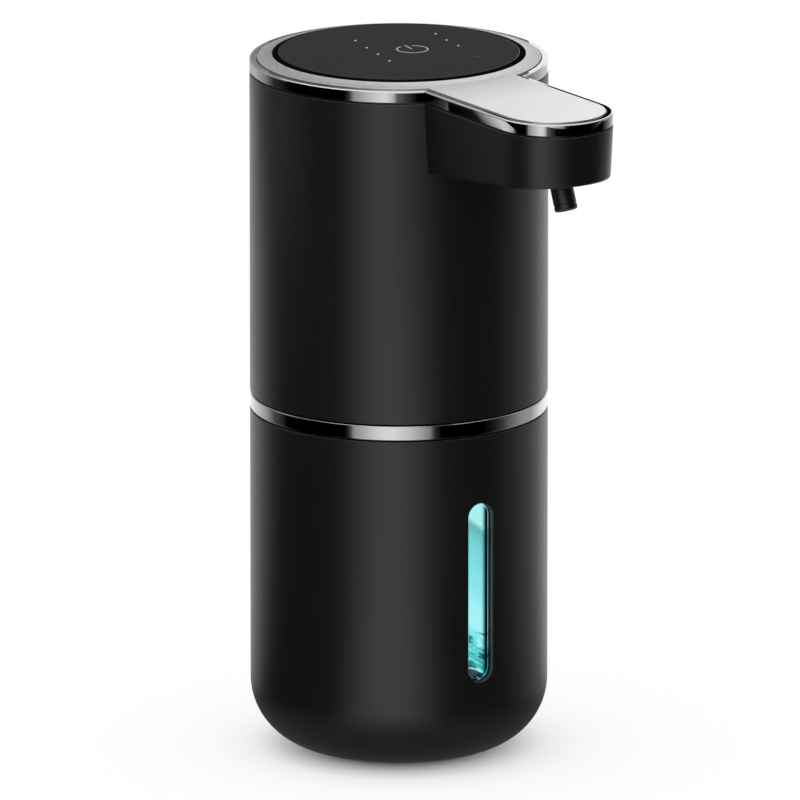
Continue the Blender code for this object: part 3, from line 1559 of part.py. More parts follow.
def build():
    clear_scene()
    bottle = axis_empty("bottle_axis", (0, 0, 0))
    carry(bottle, [bottle_shell(), tank(), foot_pad()])
    head = axis_empty("head_axis", (0, 0, SEAM_TOP))
    carry(head, [neck_gasket(), seam_band(), head_base(), head_housing()])
    carry(head, [top_trim(), top_inlay(), touch_panel()])
    carry(head, [light_guide(), touch_spring(), control_board(), board_tray()])
    carry(head, [battery_cell(), battery_cradle()])
    carry(head, [motor_can(), motor_end_cap()])
    carry(head, [pump_case(), pump_diaphragm(), valve_plate(), pump_cover()])
    carry(head, [pump_cushion(), inlet_seal(), dip_tube(), intake_strainer(), vent_valve()])
    carry(head, [foam_hose(), nozzle_body(), foam_screen(), nozzle_insert()])
    carry(head, [sensor_window(), sensor_board(), usb_socket(), charge_board()])
    rotor = axis_empty("rotor_axis", (PUMP_X, 0, HUB_TOP))
    carry(rotor, [motor_shaft(), eccentric_hub(), wobble_pin()])
    carry(axis_empty("wobble_axis", (PUMP_X, 0, PIVOT_LEVEL), WOBBLE_TILT), [wobble_plate()])
    hinge = (0, BODY_RADIUS, PORT_LEVEL - PORT_COVER_HALF_HEIGHT)
    carry(axis_empty("port_hinge", hinge), [port_plug()])


build()
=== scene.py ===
# %% [markdown]
# # Automatic foam soap dispenser
# The object is a black bottle with a level window and a screw-on head. The head has a bright
# band under it, a forward spout, and a bright trim round a satin plate and a touch panel. The
# packed solids are the fixed frame here. This script gives the outside its smooth curves and
# small edges, and gives every piece its finish.

import json
import math

import bmesh
import bpy
from mathutils import Matrix, Vector


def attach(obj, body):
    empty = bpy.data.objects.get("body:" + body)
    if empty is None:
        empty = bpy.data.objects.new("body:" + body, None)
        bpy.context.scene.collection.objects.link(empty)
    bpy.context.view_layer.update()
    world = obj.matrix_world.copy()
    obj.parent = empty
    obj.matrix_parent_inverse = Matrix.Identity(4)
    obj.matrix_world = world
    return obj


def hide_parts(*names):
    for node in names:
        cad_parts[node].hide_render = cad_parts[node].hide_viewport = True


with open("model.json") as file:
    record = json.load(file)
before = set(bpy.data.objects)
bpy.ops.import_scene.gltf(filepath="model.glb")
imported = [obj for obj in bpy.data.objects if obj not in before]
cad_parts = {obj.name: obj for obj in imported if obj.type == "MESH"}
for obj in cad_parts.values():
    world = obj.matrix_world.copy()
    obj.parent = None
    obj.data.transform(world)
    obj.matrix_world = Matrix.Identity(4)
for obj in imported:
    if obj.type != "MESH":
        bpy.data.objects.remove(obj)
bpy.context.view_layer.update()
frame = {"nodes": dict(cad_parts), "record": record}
MM = 0.001

# %% [markdown]
# ## Camera
# The photograph was taken from the left of the spout and from a little above, with a long
# lens, so upright edges stay almost parallel. A camera that is turned to a point keeps its
# framing when the object is measured again. An empty target would work too, but turning the
# camera's -Z to the point is shorter and leaves nothing else in the scene.

# %% Camera
VIEW_AZIMUTH = math.radians(-33.28)
VIEW_ELEVATION = math.radians(14.37)
VIEW_DISTANCE = 4718 * MM
VIEW_HEIGHT = 95.0 * MM
LENS_LENGTH = 832.2
AIM_DROP = 4.70 * MM
AIM_RIGHT = 0.275 * MM
CLIP_END = 20


def view_directions():
    """Toward the camera, to the picture's right, and level away from the camera."""
    away = Vector((-math.sin(VIEW_AZIMUTH), math.cos(VIEW_AZIMUTH), 0))
    right = Vector((math.cos(VIEW_AZIMUTH), math.sin(VIEW_AZIMUTH), 0))
    toward = -away * math.cos(VIEW_ELEVATION) + Vector((0, 0, math.sin(VIEW_ELEVATION)))
    return toward, right, away


def add_camera():
    toward, right, _ = view_directions()
    place = Vector((0, 0, VIEW_HEIGHT)) + toward * VIEW_DISTANCE
    aim = Vector((0, 0, VIEW_HEIGHT - AIM_DROP)) + right * AIM_RIGHT
    data = bpy.data.cameras.new("camera")
    data.lens = LENS_LENGTH
    data.clip_end = CLIP_END
    camera = bpy.data.objects.new("camera", data)
    bpy.context.scene.collection.objects.link(camera)
    camera.location = place
    camera.rotation_euler = (aim - place).to_track_quat("-Z", "Y").to_euler()
    bpy.context.scene.camera = camera
    return camera


bpy.context.scene.view_settings.view_transform = "Standard"
print("camera at", [round(c, 3) for c in add_camera().location])

# %% [markdown]
# ## Finishes as expressions
# Each finish is one Principled shader with patterns for its colour, gloss and relief. Wiring
# nodes by hand hides the sums in them. A small class that wraps a socket and overloads the
# operators lets a pattern be read as a formula, and each operator adds its Math node.

# %% Sockets that take part in sums
class Value:
    """A node's output that can be used in a sum."""

    def __init__(self, wiring, socket):
        self.wiring = wiring
        self.socket = socket

    def sum(self, operation, first, second):
        settings = {"operation": operation}
        return self.wiring.node("ShaderNodeMath", settings, {0: first, 1: second})

    def __add__(self, other):
        return self.sum("ADD", self, other)

    def __sub__(self, other):
        return self.sum("SUBTRACT", self, other)

    def __rsub__(self, other):
        return self.sum("SUBTRACT", other, self)

    def __mul__(self, other):
        return self.sum("MULTIPLY", self, other)

    def __truediv__(self, other):
        return self.sum("DIVIDE", self, other)

    def __gt__(self, other):
        return self.sum("GREATER_THAN", self, other)

    def __lt__(self, other):
        return self.sum("LESS_THAN", self, other)

    __radd__ = __add__
    __rmul__ = __mul__

    def root(self):
        return self.sum("SQRT", self, 0)

    def sine(self):
        return self.sum("SINE", self, 0)

    def turn_from(self, other):
        """The angle whose tangent is this value over the other."""
        return self.sum("ARCTAN2", self, other)

    def clamp(self):
        return self.wiring.node("ShaderNodeClamp", {}, {0: self})


print("operators:", sum(n.startswith("__") for n in vars(Value)))


# %% One method for every other node
class Wiring:
    """A node tree. Settings are set first, and sockets take a number or a Value."""

    def __init__(self, tree):
        self.tree = tree

    def node(self, kind, settings=None, sockets=None, output=0):
        node = self.tree.nodes.new(kind)
        for name, value in (settings or {}).items():
            if name == "stops":
                self.set_stops(node.color_ramp, value)
            else:
                setattr(node, name, value)
        for name, value in (sockets or {}).items():
            self.feed(node.inputs[name], value)
        return Value(self, node.outputs[output])

    def set_stops(self, ramp, stops):
        while len(ramp.elements) < len(stops):
            ramp.elements.new(1)
        for element, (place, colour) in zip(ramp.elements, stops):
            element.position = place
            element.color = (*colour, 1)

    def feed(self, socket, value):
        if isinstance(value, Value):
            self.tree.links.new(value.socket, socket)
        else:
            socket.default_value = value

    def place(self):
        """The three Object coordinates of the point, in metres."""
        where = self.node("ShaderNodeTexCoord", output="Object")
        split = self.node("ShaderNodeSeparateXYZ", {}, {0: where})
        return tuple(Value(self, out) for out in split.socket.node.outputs)

    def vector(self, x, y, z):
        return self.node("ShaderNodeCombineXYZ", {}, {0: x, 1: y, 2: z})

    def noise(self, scale, detail=2.0, at=None):
        where = at if at is not None else self.node("ShaderNodeTexCoord", output="Object")
        sockets = {"Vector": where, "Scale": scale, "Detail": detail}
        return self.node("ShaderNodeTexNoise", {}, sockets)

    def ramp(self, factor, stops):
        return self.node("ShaderNodeValToRGB", {"stops": stops}, {0: factor})

    def mix(self, factor, first, second):
        """A blend of two colours."""
        pair = [c if isinstance(c, Value) else (*c, 1) for c in (first, second)]
        sockets = {0: factor, 6: pair[0], 7: pair[1]}
        return self.node("ShaderNodeMix", {"data_type": "RGBA"}, sockets, output=2)


print("wiring:", [n for n in vars(Wiring) if n[0] != "_"])


# %% Finishes, fades and greys
class Finish(Wiring):
    """A material round one Principled shader."""

    def __init__(self, name, **constants):
        self.material = bpy.data.materials.new(name)
        self.material.use_nodes = True
        super().__init__(self.material.node_tree)
        self.shader = self.tree.nodes["Principled BSDF"]
        for label, value in constants.items():
            self.shader.inputs[label.replace("_", " ")].default_value = value
        print("finish", self.material.name)

    def drive(self, label, value):
        self.feed(self.shader.inputs[label], value)

    def relief(self, height, depth):
        """A bump, as high as the depth where the pattern is 1."""
        sockets = {"Height": height, "Distance": depth, "Strength": 1.0}
        self.drive("Normal", self.node("ShaderNodeBump", {}, sockets))

    def surface(self, shader):
        """Puts another shader in the place of the plain one."""
        self.feed(self.tree.nodes["Material Output"].inputs["Surface"], shader)


def fade(value, start, end):
    """0 up to the start and 1 past the end, with a straight slope between them."""
    return ((value - start) / (end - start)).clamp()


def from_axis(x, y):
    """The distance of the point from the object's upright axis."""
    return (x * x + y * y).root()


def grey(level):
    return (level, level, level)


print("finish:", [n for n in vars(Finish) if n[0] != "_"])

# %% [markdown]
# ## Black housing plastic
# The shells are moulded ABS with a fine, even spark-eroded grain, which is what makes the
# black look soft. The grain is about a quarter of a millimetre, far too small to model, so
# it is a bump. A slow change in gloss keeps the long sides from looking computed.

# %% Black plastics
BLACK = (0.005, 0.005, 0.0054)
GRAIN_SCALE = 3600
DRIFT_SCALE = 30
DRIFT_LIGHTER = 1.25
DRIFT_IN_GLOSS = 0.05


def grained(name, colour, gloss, depth, **constants):
    """A moulded plastic with an even grain and a slow drift of its gloss."""
    finish = Finish(name, **constants)
    drift = finish.noise(DRIFT_SCALE, detail=3.0)
    lighter = tuple(c * DRIFT_LIGHTER for c in colour)
    finish.drive("Base Color", finish.mix(drift, colour, lighter))
    finish.drive("Roughness", gloss + (drift - 0.5) * DRIFT_IN_GLOSS)
    finish.relief(finish.noise(GRAIN_SCALE), depth)
    return finish.material


black_plastic = grained("black_plastic", BLACK, 0.34, 0.012 * MM, IOR=1.66)
inner_plastic = grained("inner_plastic", (0.030, 0.030, 0.032), 0.55, 0.01 * MM)
pale_plastic = grained("pale_plastic", (0.62, 0.62, 0.60), 0.45, 0.01 * MM)
black_rubber = grained("black_rubber", grey(0.016), 0.75, 0.02 * MM)
silicone = grained("silicone", (0.78, 0.78, 0.76), 0.50, 0.005 * MM)
# Painted shade: a black without gloss for the line round the touch panel.
shade_rim = grained("shade_rim", grey(0.003), 0.6, 0.01 * MM, Specular_IOR_Level=0.0)
print("grain of", round(1000 / GRAIN_SCALE, 2), "mm")

# %% [markdown]
# ## Glass-like black
# The touch panel and the hand sensor's lens are polished black acrylic. Fingers leave it not
# quite even, so a faint slow pattern goes into its gloss, and a trace of it into its colour.

# %% Polished black
GLASS_BLACKS = ((0.006, 0.006, 0.007), (0.009, 0.009, 0.010))
SMEAR_SCALE = 90


def polished_black():
    finish = Finish("gloss_black")
    smear = finish.noise(SMEAR_SCALE, detail=4.0)
    finish.drive("Base Color", finish.mix(smear, *GLASS_BLACKS))
    finish.drive("Roughness", 0.02 + smear * 0.04)
    return finish.material


gloss_black = polished_black()

# %% [markdown]
# ## Bright plating
# The seam band and the trim are plated plastic. A mirror finish gets its look from what it
# reflects, so the finish itself only has a trace of haze that varies.

# %% Chrome and steel
CLOUD_SCALE = 140
CLOUD_DARKER = 0.96


def plated(name, colour, gloss, haze):
    finish = Finish(name, Metallic=1.0)
    cloud = finish.noise(CLOUD_SCALE, detail=3.0)
    darker = tuple(c * CLOUD_DARKER for c in colour)
    finish.drive("Base Color", finish.mix(cloud, colour, darker))
    finish.drive("Roughness", gloss + cloud * haze)
    return finish.material


chrome = plated("chrome", (0.80, 0.80, 0.81), gloss=0.015, haze=0.02)
steel = plated("steel", (0.52, 0.52, 0.54), gloss=0.22, haze=0.12)

# %% [markdown]
# ## Satin plate
# The plate under the panel is brushed: round the ring the lines follow the circle, and along
# the spout they run straight. Both sets are stretched noise, one in turned coordinates and
# one in straight ones, and a mask at the spout's root goes from one to the other. The lines
# show most on the ring. Toward the tip the plate gets paler and calmer, which is a painted
# highlight.

# %% Brushed plate
BRUSH_SCALE = 2600
STRAIGHT_STRETCH = 60
RING_STRETCH = 12
RING_GREYS = (grey(0.38), grey(0.78))
TIP_HIGHLIGHT_GREYS = (grey(0.86), grey(0.93))
ROOT_FADE = (36 * MM, 42 * MM)
TIP_HIGHLIGHT_FADE = (-24 * MM, -54 * MM)


def brushed_plate():
    finish = Finish("satin_metal", Metallic=1.0)
    x, y, _ = finish.place()
    reach = from_axis(x, y)
    round_lines = finish.vector(reach * BRUSH_SCALE, y.turn_from(x) * RING_STRETCH, 0)
    straight_lines = finish.vector(x * BRUSH_SCALE, y * STRAIGHT_STRETCH, 0)
    ring = finish.noise(1.0, 3.0, round_lines)
    straight = finish.noise(1.0, 3.0, straight_lines)
    on_spout = fade(reach, *ROOT_FADE)
    lines = ring * (1 - on_spout) + straight * on_spout
    ring_colour = finish.mix(lines, *RING_GREYS)
    tip_highlight_colour = finish.mix(lines, *TIP_HIGHLIGHT_GREYS)
    # Painted highlight: toward the spout's tip the plate turns to paler, calmer greys.
    colour = finish.mix(fade(y, *TIP_HIGHLIGHT_FADE), ring_colour, tip_highlight_colour)
    finish.drive("Base Color", colour)
    finish.drive("Roughness", 0.34 + lines * 0.12)
    finish.relief(lines, 0.004 * MM)
    return finish.material


satin_metal = brushed_plate()

# %% [markdown]
# ## Clear plastic and soap
# The tank is clear, and through the slot it shows the soap. The soap in the window looks lit,
# so its finish gives off its own colour there as painted light. The colour is a ramp up the
# window, a little tilted. Painted shade stands for the slot's black sides that shade the soap
# to the left and right of the middle, and at the foot stretched, leaning noise gives the
# painted bright and dark streaks of light in a thick liquid. Away from the window it has its
# plain colour.

# %% Clear plastic
def clear_finish():
    finish = Finish("clear_plastic", Transmission_Weight=1.0, IOR=1.46)
    cloud = finish.noise(60)
    finish.drive("Base Color", finish.mix(cloud, (0.90, 0.97, 0.97), (0.94, 0.99, 0.99)))
    finish.drive("Roughness", 0.02 + cloud * 0.02)
    return finish.material


clear_plastic = clear_finish()

# %% Painted streaks of light in the soap. Heights are shares of the window, from its foot.
WINDOW_FOOT = 24.5 * MM
WINDOW_HEIGHT = 46.8 * MM
STREAK_SCALE = 150
STREAK_FINENESS = 640
STREAK_LEAN = 0.5
STREAK_DARK = (0, 0.16, 0.17)
STREAK_LIGHT = (0.40, 1.0, 1.0)
LIGHT_STRENGTH = 0.8
DARK_FADE = (0.54, 0.57)
LIGHT_FADE = (0.46, 0.43)
STREAKS_FOOT = (0.02, 0.12)
STREAKS_TOP = (0.27, 0.24)


def streak_pattern(finish, x, z):
    rise = (z + x * STREAK_LEAN) * STREAK_FINENESS
    return finish.noise(1.0, 3.0, finish.vector(x * STREAK_SCALE, 0, rise))


def streaked(finish, colour, streaks, height):
    """The highs of the pattern turn dark and its lows turn light, low in the window."""
    low = fade(height, *STREAKS_TOP)
    dark = fade(streaks, *DARK_FADE) * low * fade(height, *STREAKS_FOOT)
    light = fade(streaks, *LIGHT_FADE) * low
    colour = finish.mix(dark, colour, STREAK_DARK)
    return finish.mix(light * LIGHT_STRENGTH, colour, STREAK_LIGHT)


print("streaks end at", STREAKS_TOP[0])

# %% Painted light of the soap. Its tilt is in shares of the window for each metre across.
SOAP_LIGHT_STOPS = (
    (0.00, (0, 0.004, 0.004)), (0.045, (0, 0.030, 0.033)), (0.065, (0, 0.12, 0.13)),
    (0.085, (0.012, 0.50, 0.51)), (0.16, (0.09, 0.66, 0.68)), (0.21, (0.12, 0.70, 0.70)),
    (0.25, (0.20, 0.86, 0.90)), (0.30, (0.41, 0.95, 0.97)), (0.42, (0.37, 0.91, 0.95)),
    (0.51, (0.26, 0.82, 0.86)), (0.60, (0.22, 0.80, 0.84)), (0.78, (0.17, 0.64, 0.66)),
    (0.84, (0.13, 0.48, 0.50)), (0.86, (0.15, 0.50, 0.52)), (0.89, (0.42, 0.92, 0.92)),
)
SOAP_TILT = 16.8
SOAP_SHADE = (0, 0.006, 0.007)
SOAP_DEPTHS = ((0.04, 0.36, 0.36), (0.06, 0.44, 0.44))
LIT_FADE = (3.3 * MM, 2.2 * MM)
GLOW_HALF = 9 * MM
GLOW_TOP = 73 * MM


def soap_finish():
    finish = Finish("soap", Roughness=0.5, Specular_IOR_Level=0.1, Emission_Strength=1.0)
    x, y, z = finish.place()
    height = (z - WINDOW_FOOT) / WINDOW_HEIGHT
    # Painted light: the soap's glow is a ramp of colour up the window.
    colour = finish.ramp(height + x * SOAP_TILT, SOAP_LIGHT_STOPS)
    streaks = streak_pattern(finish, x, z)
    colour = streaked(finish, colour, streaks, height)
    across = (x * x).root()
    # Painted shade: the glow goes dark toward the slot's sides.
    colour = finish.mix(fade(across, *LIT_FADE), SOAP_SHADE, colour)
    at_window = (across < GLOW_HALF) * (y < 0) * (z < GLOW_TOP)
    # The painted light is given off at the window only.
    finish.drive("Emission Color", finish.mix(at_window, SOAP_SHADE, colour))
    depth = finish.mix(streaks, *SOAP_DEPTHS)
    finish.drive("Base Color", finish.mix(at_window, depth, SOAP_SHADE))
    return finish.material


soap = soap_finish()

# %% [markdown]
# ## Boards, battery wrap, screen and lit marks
# The boards have a green mask over copper runs, with bare pads. The battery has a shrink
# wrap that stops short of its bare ends. The foam screen is a woven mesh too fine to model.
# The marks in the panel are lit from below, so they give off light.

# %% Board
BOARD_PITCH = 1.6 * MM
RUN_EDGE = 0.06
PAD_EDGE = 0.42


def board_finish():
    finish = Finish("green_board", Roughness=0.4)
    where = finish.node("ShaderNodeTexCoord", output="Object")
    settings = {"feature": "DISTANCE_TO_EDGE"}
    sockets = {"Vector": where, "Scale": 1 / BOARD_PITCH}
    cells = finish.node("ShaderNodeTexVoronoi", settings, sockets)
    runs = cells < RUN_EDGE
    pads = cells > PAD_EDGE
    mask = finish.mix(runs, (0.020, 0.110, 0.050), (0.045, 0.190, 0.080))
    finish.drive("Base Color", finish.mix(pads, mask, (0.72, 0.55, 0.26)))
    finish.drive("Metallic", pads)
    finish.relief(runs + pads, 0.03 * MM)
    return finish.material


green_board = board_finish()

# %% Battery wrap
CELL_FOOT = 108.6 * MM
CELL_HEAD = 157.1 * MM
BARE_END = 0.6 * MM
CREASE_SCALE = 400


def wrap_finish():
    finish = Finish("blue_wrap")
    _, _, z = finish.place()
    bare = (z < CELL_FOOT + BARE_END) + (z > CELL_HEAD - BARE_END)
    crease = finish.noise(CREASE_SCALE, detail=3.0)
    blue = finish.mix(crease, (0.030, 0.120, 0.340), (0.036, 0.140, 0.390))
    finish.drive("Base Color", finish.mix(bare, blue, (0.60, 0.60, 0.58)))
    finish.drive("Metallic", bare)
    finish.drive("Roughness", 0.28 + crease * 0.1)
    finish.relief(crease, 0.02 * MM)
    return finish.material


blue_wrap = wrap_finish()

# %% Woven screen
WIRE_PITCH = 0.30 * MM
WIRE_EDGE = 0.1


def woven_finish():
    finish = Finish("woven_steel", Metallic=1.0, Roughness=0.3)
    x, y, _ = finish.place()
    weave = (x * (math.tau / WIRE_PITCH)).sine() * (y * (math.tau / WIRE_PITCH)).sine()
    wires = finish.mix(weave > WIRE_EDGE, (0.08, 0.08, 0.085), (0.55, 0.55, 0.57))
    finish.drive("Base Color", wires)
    finish.relief(weave, 0.05 * MM)
    return finish.material


woven_steel = woven_finish()

# %% Lit marks
SPREAD_SCALE = 900


def lit_finish(name, level):
    finish = Finish(name, Roughness=0.08, Emission_Strength=level)
    spread = finish.noise(SPREAD_SCALE)
    finish.drive("Base Color", finish.mix(spread, *GLASS_BLACKS))
    finish.drive("Emission Color", finish.mix(spread, (0.92, 0.94, 0.96), grey(1.0)))
    return finish.material


bright_mark = lit_finish("bright_mark", 0.9)
dim_mark = lit_finish("dim_mark", 0.40)
faint_mark = lit_finish("faint_mark", 0.08)

# %% [markdown]
# ## From a section to a solid
# Most outside pieces are turned forms. Their half section is a short chain of corners, each
# rounded by a bevel of the vertex, and one full spin makes the solid. 192 steps keep the
# plated edges from looking faceted. A lathe modifier would do the same, but a spin leaves
# plain mesh that can be cut.

# %% Section and spin
TURN_STEPS = 192
SMALL_STEPS = 64
SAME_POINT = 0.0005 * MM
FEWEST_SEGMENTS = 4
SEGMENTS_PER_MM = 1.5


def rounded(bm, geom, radius, affect, segments):
    """Rounds corners or edges. The radius is in millimetres."""
    bmesh.ops.bevel(
        bm, geom=geom, offset=radius * MM, affect=affect, segments=segments, profile=0.5,
        material=-1,
    )


def spun(bm, geom, angle, steps, centre=(0, 0, 0), lift=0, merge=False):
    """Takes geometry round an upright axis, and up by the lift at each step."""
    bmesh.ops.spin(
        bm, geom=geom, cent=centre, axis=(0, 0, 1), dvec=(0, 0, lift), angle=angle,
        steps=steps, use_merge=merge, use_duplicate=False,
    )


def section(points, rounds=None):
    """Corners in the XZ plane, in millimetres. It is closed unless it starts on the axis."""
    bm = bmesh.new()
    corners = [bm.verts.new((reach * MM, 0, height * MM)) for reach, height in points]
    for pair in zip(corners, corners[1:]):
        bm.edges.new(pair)
    if points[0][0] > 0:
        bm.edges.new((corners[-1], corners[0]))
    for number, radius in (rounds or {}).items():
        segments = FEWEST_SEGMENTS + round(radius * SEGMENTS_PER_MM)
        rounded(bm, [corners[number]], radius, "VERTICES", segments)
    return bm


def turned(points, rounds=None, steps=TURN_STEPS):
    """The solid that a section makes in one full turn."""
    bm = section(points, rounds)
    spun(bm, bm.verts[:] + bm.edges[:], math.tau, steps, merge=True)
    bmesh.ops.remove_doubles(bm, verts=bm.verts, dist=SAME_POINT)
    bmesh.ops.recalc_face_normals(bm, faces=bm.faces)
    return bm


def cylinder(radius, low, high, steps=SMALL_STEPS):
    return turned([(0, low), (radius, low), (radius, high), (0, high)], None, steps)


print("turned pieces have", TURN_STEPS, "steps")

# %% From mesh to piece
SHARP_ANGLE = math.radians(32)


def as_object(name, bm):
    mesh = bpy.data.meshes.new(name)
    bm.to_mesh(mesh)
    bm.free()
    made = bpy.data.objects.new(name, mesh)
    bpy.context.scene.collection.objects.link(made)
    return made


def finish_piece(made, material, body, slot, *nodes):
    """Gives a piece its finish and its body, and hides the solids that it stands for."""
    made.data.materials.clear()
    made.data.materials.append(material)
    made.data.shade_smooth()
    made.data.set_sharp_from_angle(angle=SHARP_ANGLE)
    flats = made.modifiers.new("flats", "WEIGHTED_NORMAL")
    flats.keep_sharp = True
    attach(made, body)
    if nodes:
        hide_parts(*nodes)
    print(made.name, len(made.data.polygons), "faces")


print("edges stay sharp above", SHARP_ANGLE)


# %% Cuts and joins
def combine(made, tool, operation):
    """Cuts a tool away from a piece, or joins it, and keeps plain mesh."""
    cutter = as_object("cutter", tool)
    modifier = made.modifiers.new("combine", "BOOLEAN")
    modifier.operation = operation
    modifier.solver = "EXACT"
    modifier.object = cutter
    graph = bpy.context.evaluated_depsgraph_get()
    mesh = bpy.data.meshes.new_from_object(made.evaluated_get(graph))
    made.modifiers.clear()
    made.data = mesh
    bpy.data.objects.remove(cutter)
    print(operation.lower(), "on", made.name)


def cut(made, *tools):
    for tool in tools:
        combine(made, tool, "DIFFERENCE")


def join(made, *tools):
    for tool in tools:
        combine(made, tool, "UNION")


# %% [markdown]
# ## Outlines drawn through rings
# Slots and the trim are one closed outline drawn through a few rings, as a strip is drawn
# through dies. Extruding the last ring's edges and moving the new points onto the next ring
# keeps every point in its row, which bridging doesn't where two rings lie in one plane.

# %% Rings
def drawn(rings):
    """Closes both ends. Every ring has the same number of points in the same order."""
    bm = bmesh.new()
    last = [bm.verts.new(p) for p in rings[0]]
    bm.faces.new(last)
    for ring in rings[1:]:
        rim = [e for e in bm.edges if e.verts[0] in last and e.verts[1] in last]
        fresh = set(bmesh.ops.extrude_edge_only(bm, edges=rim)["geom"])
        last = [next(w for e in v.link_edges if (w := e.other_vert(v)) in fresh) for v in last]
        for v, place in zip(last, ring):
            v.co = place
    bm.faces.new(last)
    bmesh.ops.recalc_face_normals(bm, faces=bm.faces)
    return bm


# %% [markdown]
# The level window's slot, the window itself and the charging socket's plug are slots with
# full round ends. A circle whose halves are drawn apart gives the ring. Where the slot opens
# on the body it widens a little, which is the small edge that catches light in the
# photograph.

# %% Slot prism
SLOT_STEPS = 48
QUARTER = math.radians(90)


def slot_ring(half_width, half_height, middle, depth_of):
    """One slot outline in the XZ plane, set back to y = depth_of(x)."""
    bm = bmesh.new()
    bmesh.ops.create_circle(bm, radius=half_width * MM, segments=SLOT_STEPS)
    upright = Matrix.Rotation(QUARTER, 3, "X")
    half_step = Matrix.Rotation(math.pi / SLOT_STEPS, 3, "Z")
    bmesh.ops.rotate(bm, cent=(0, 0, 0), matrix=upright @ half_step, verts=bm.verts)
    straight = (half_height - half_width) * MM
    lift = [middle * MM + math.copysign(straight, v.co.z) for v in bm.verts]
    return [(v.co.x, depth_of(v.co.x), v.co.z + up) for v, up in zip(bm.verts, lift)]


def on_cylinder(radius, side=-1):
    """Depth of a cylinder's wall at a distance x from its middle."""
    return lambda x: side * math.sqrt((radius * MM) ** 2 - x * x)


def slot_prism(half_width, half_height, middle, depths, widen=0):
    """A slot through the given depths. The first ring is wider by widen."""
    extras = [widen] + [0] * (len(depths) - 1)
    sizes = [(half_width + more, half_height + more) for more in extras]
    return drawn([slot_ring(*size, middle, depth) for size, depth in zip(sizes, depths)])


print("a slot's outline has", len(slot_ring(1, 2, 0, on_cylinder(3))), "points")

# %% [markdown]
# ## Bottle
# The bottle shell is one turned cup with a generous rounded foot. The slot is cut through it
# afterwards, because a hole can't be part of a section.

# %% Bottle shell
BODY = 38.0
SEAM = 89.0
SLOT_HALF = (3.5, 23.4)
SLOT_MIDDLE = 47.9
SLOT_EDGE = 0.3

shell_section = [
    (0, 1.9), (17.3, 1.9), (17.3, 0.6), (BODY, 0.6),
    (BODY, SEAM), (36.2, SEAM), (36.2, 3.0), (0, 3.0),
]
shell_rounds = {2: 0.3, 3: 17.2, 4: 0.4, 5: 0.3, 6: 15.4}
bottle_shell = as_object("bottle", turned(shell_section, shell_rounds))
slot_depths = [
    on_cylinder(BODY + SLOT_EDGE), on_cylinder(BODY - SLOT_EDGE), on_cylinder(BODY / 2),
]
cut(bottle_shell, slot_prism(*SLOT_HALF, SLOT_MIDDLE, slot_depths, 2 * SLOT_EDGE))
finish_piece(bottle_shell, black_plastic, "bottle", "black_plastic", "bottle_shell")

# %% Tank with its window
WINDOW_HALF = (3.2, 23.1)
WINDOW_CROWN = -0.3
tank_section = [
    (0, 3.3), (35.9, 3.3), (35.9, 86.4), (31.5, 86.4), (31.5, 101.2),
    (29.9, 101.2), (29.9, 84.8), (34.3, 82.8), (34.3, 4.9), (0, 4.9),
]
tank_rounds = {1: 15.1, 2: 2.0, 3: 0.5, 4: 0.4, 5: 0.4, 6: 0.5, 8: 13.5}
tank = as_object("clear_tank", turned(tank_section, tank_rounds))
window_depths = [on_cylinder(36.9), on_cylinder(36.6), on_cylinder(35.1)]
join(tank, slot_prism(*WINDOW_HALF, SLOT_MIDDLE, window_depths, WINDOW_CROWN))
finish_piece(tank, clear_plastic, "bottle", "clear_plastic", "tank")

# %% [markdown]
# The soap is modelled as the ring of liquid next to the tank's wall. Its middle is left open,
# because the dip tube goes round there when the head is unscrewed.

# %% Soap
soap_section = [(20, 5.2), (34.1, 5.2), (34.1, 79.0), (20, 79.0)]
soap_fill = as_object("soap_fill", turned(soap_section, {1: 13.3}))
finish_piece(soap_fill, soap, "bottle", "clear_plastic")

# %% Foot pad
pad_section = [
    (0, 0.3), (3, 0.3), (3, 0), (7, 0), (7, 0.3), (8, 0.3), (8, 0),
    (12, 0), (12, 0.3), (13, 0.3), (13, 0), (17, 0), (17, 1.6), (0, 1.6),
]
pad_rounds = {2: 0.1, 3: 0.1, 6: 0.1, 7: 0.1, 10: 0.1, 11: 0.4}
foot_pad = as_object("foot", turned(pad_section, pad_rounds))
finish_piece(foot_pad, black_rubber, "bottle", "black_rubber", "foot_pad")

# %% [markdown]
# ## Neck thread
# Two ridges climb the neck by 6 mm a turn, right-handed, which is the rise that the head's
# joint has. A spin with a lift per step makes a helix from the ridge's section.

# %% Thread
THREAD_LEAD = 6.0
THREAD_STEPS = 120
THREAD_SWEEP = math.radians(300)
THREAD_FOOT = 91.5
RIDGE_ROOT = (31.4, 0.9)
RIDGE_CREST = (32.4, 0.35)


def thread_ridge(start_turn):
    """A ridge of four corners that climbs round the Z axis."""
    (root, wide), (crest, narrow) = RIDGE_ROOT, RIDGE_CREST
    corners = [(root, -wide), (crest, -narrow), (crest, narrow), (root, wide)]
    bm = bmesh.new()
    ring = [bm.verts.new((r * MM, 0, (THREAD_FOOT + z) * MM)) for r, z in corners]
    face = bm.faces.new(ring)
    start = Matrix.Rotation(start_turn, 3, "Z")
    bmesh.ops.rotate(bm, cent=(0, 0, 0), matrix=start, verts=bm.verts)
    steps = round(THREAD_STEPS * THREAD_SWEEP / math.tau)
    lift = THREAD_LEAD * MM * THREAD_SWEEP / math.tau / steps
    spun(bm, [face] + face.edges[:] + ring, THREAD_SWEEP, steps, lift=lift)
    bmesh.ops.recalc_face_normals(bm, faces=bm.faces)
    return bm


for number, start in enumerate((0, math.pi)):
    ridge = as_object(f"neck_thread_{number}", thread_ridge(start))
    finish_piece(ridge, clear_plastic, "bottle", "clear_plastic")

# %% [markdown]
# ## Seam band
# The band is a plain plated ring. Its two edges are rounded by 0.4 mm, and these roundings
# give the thin light lines above and below it.

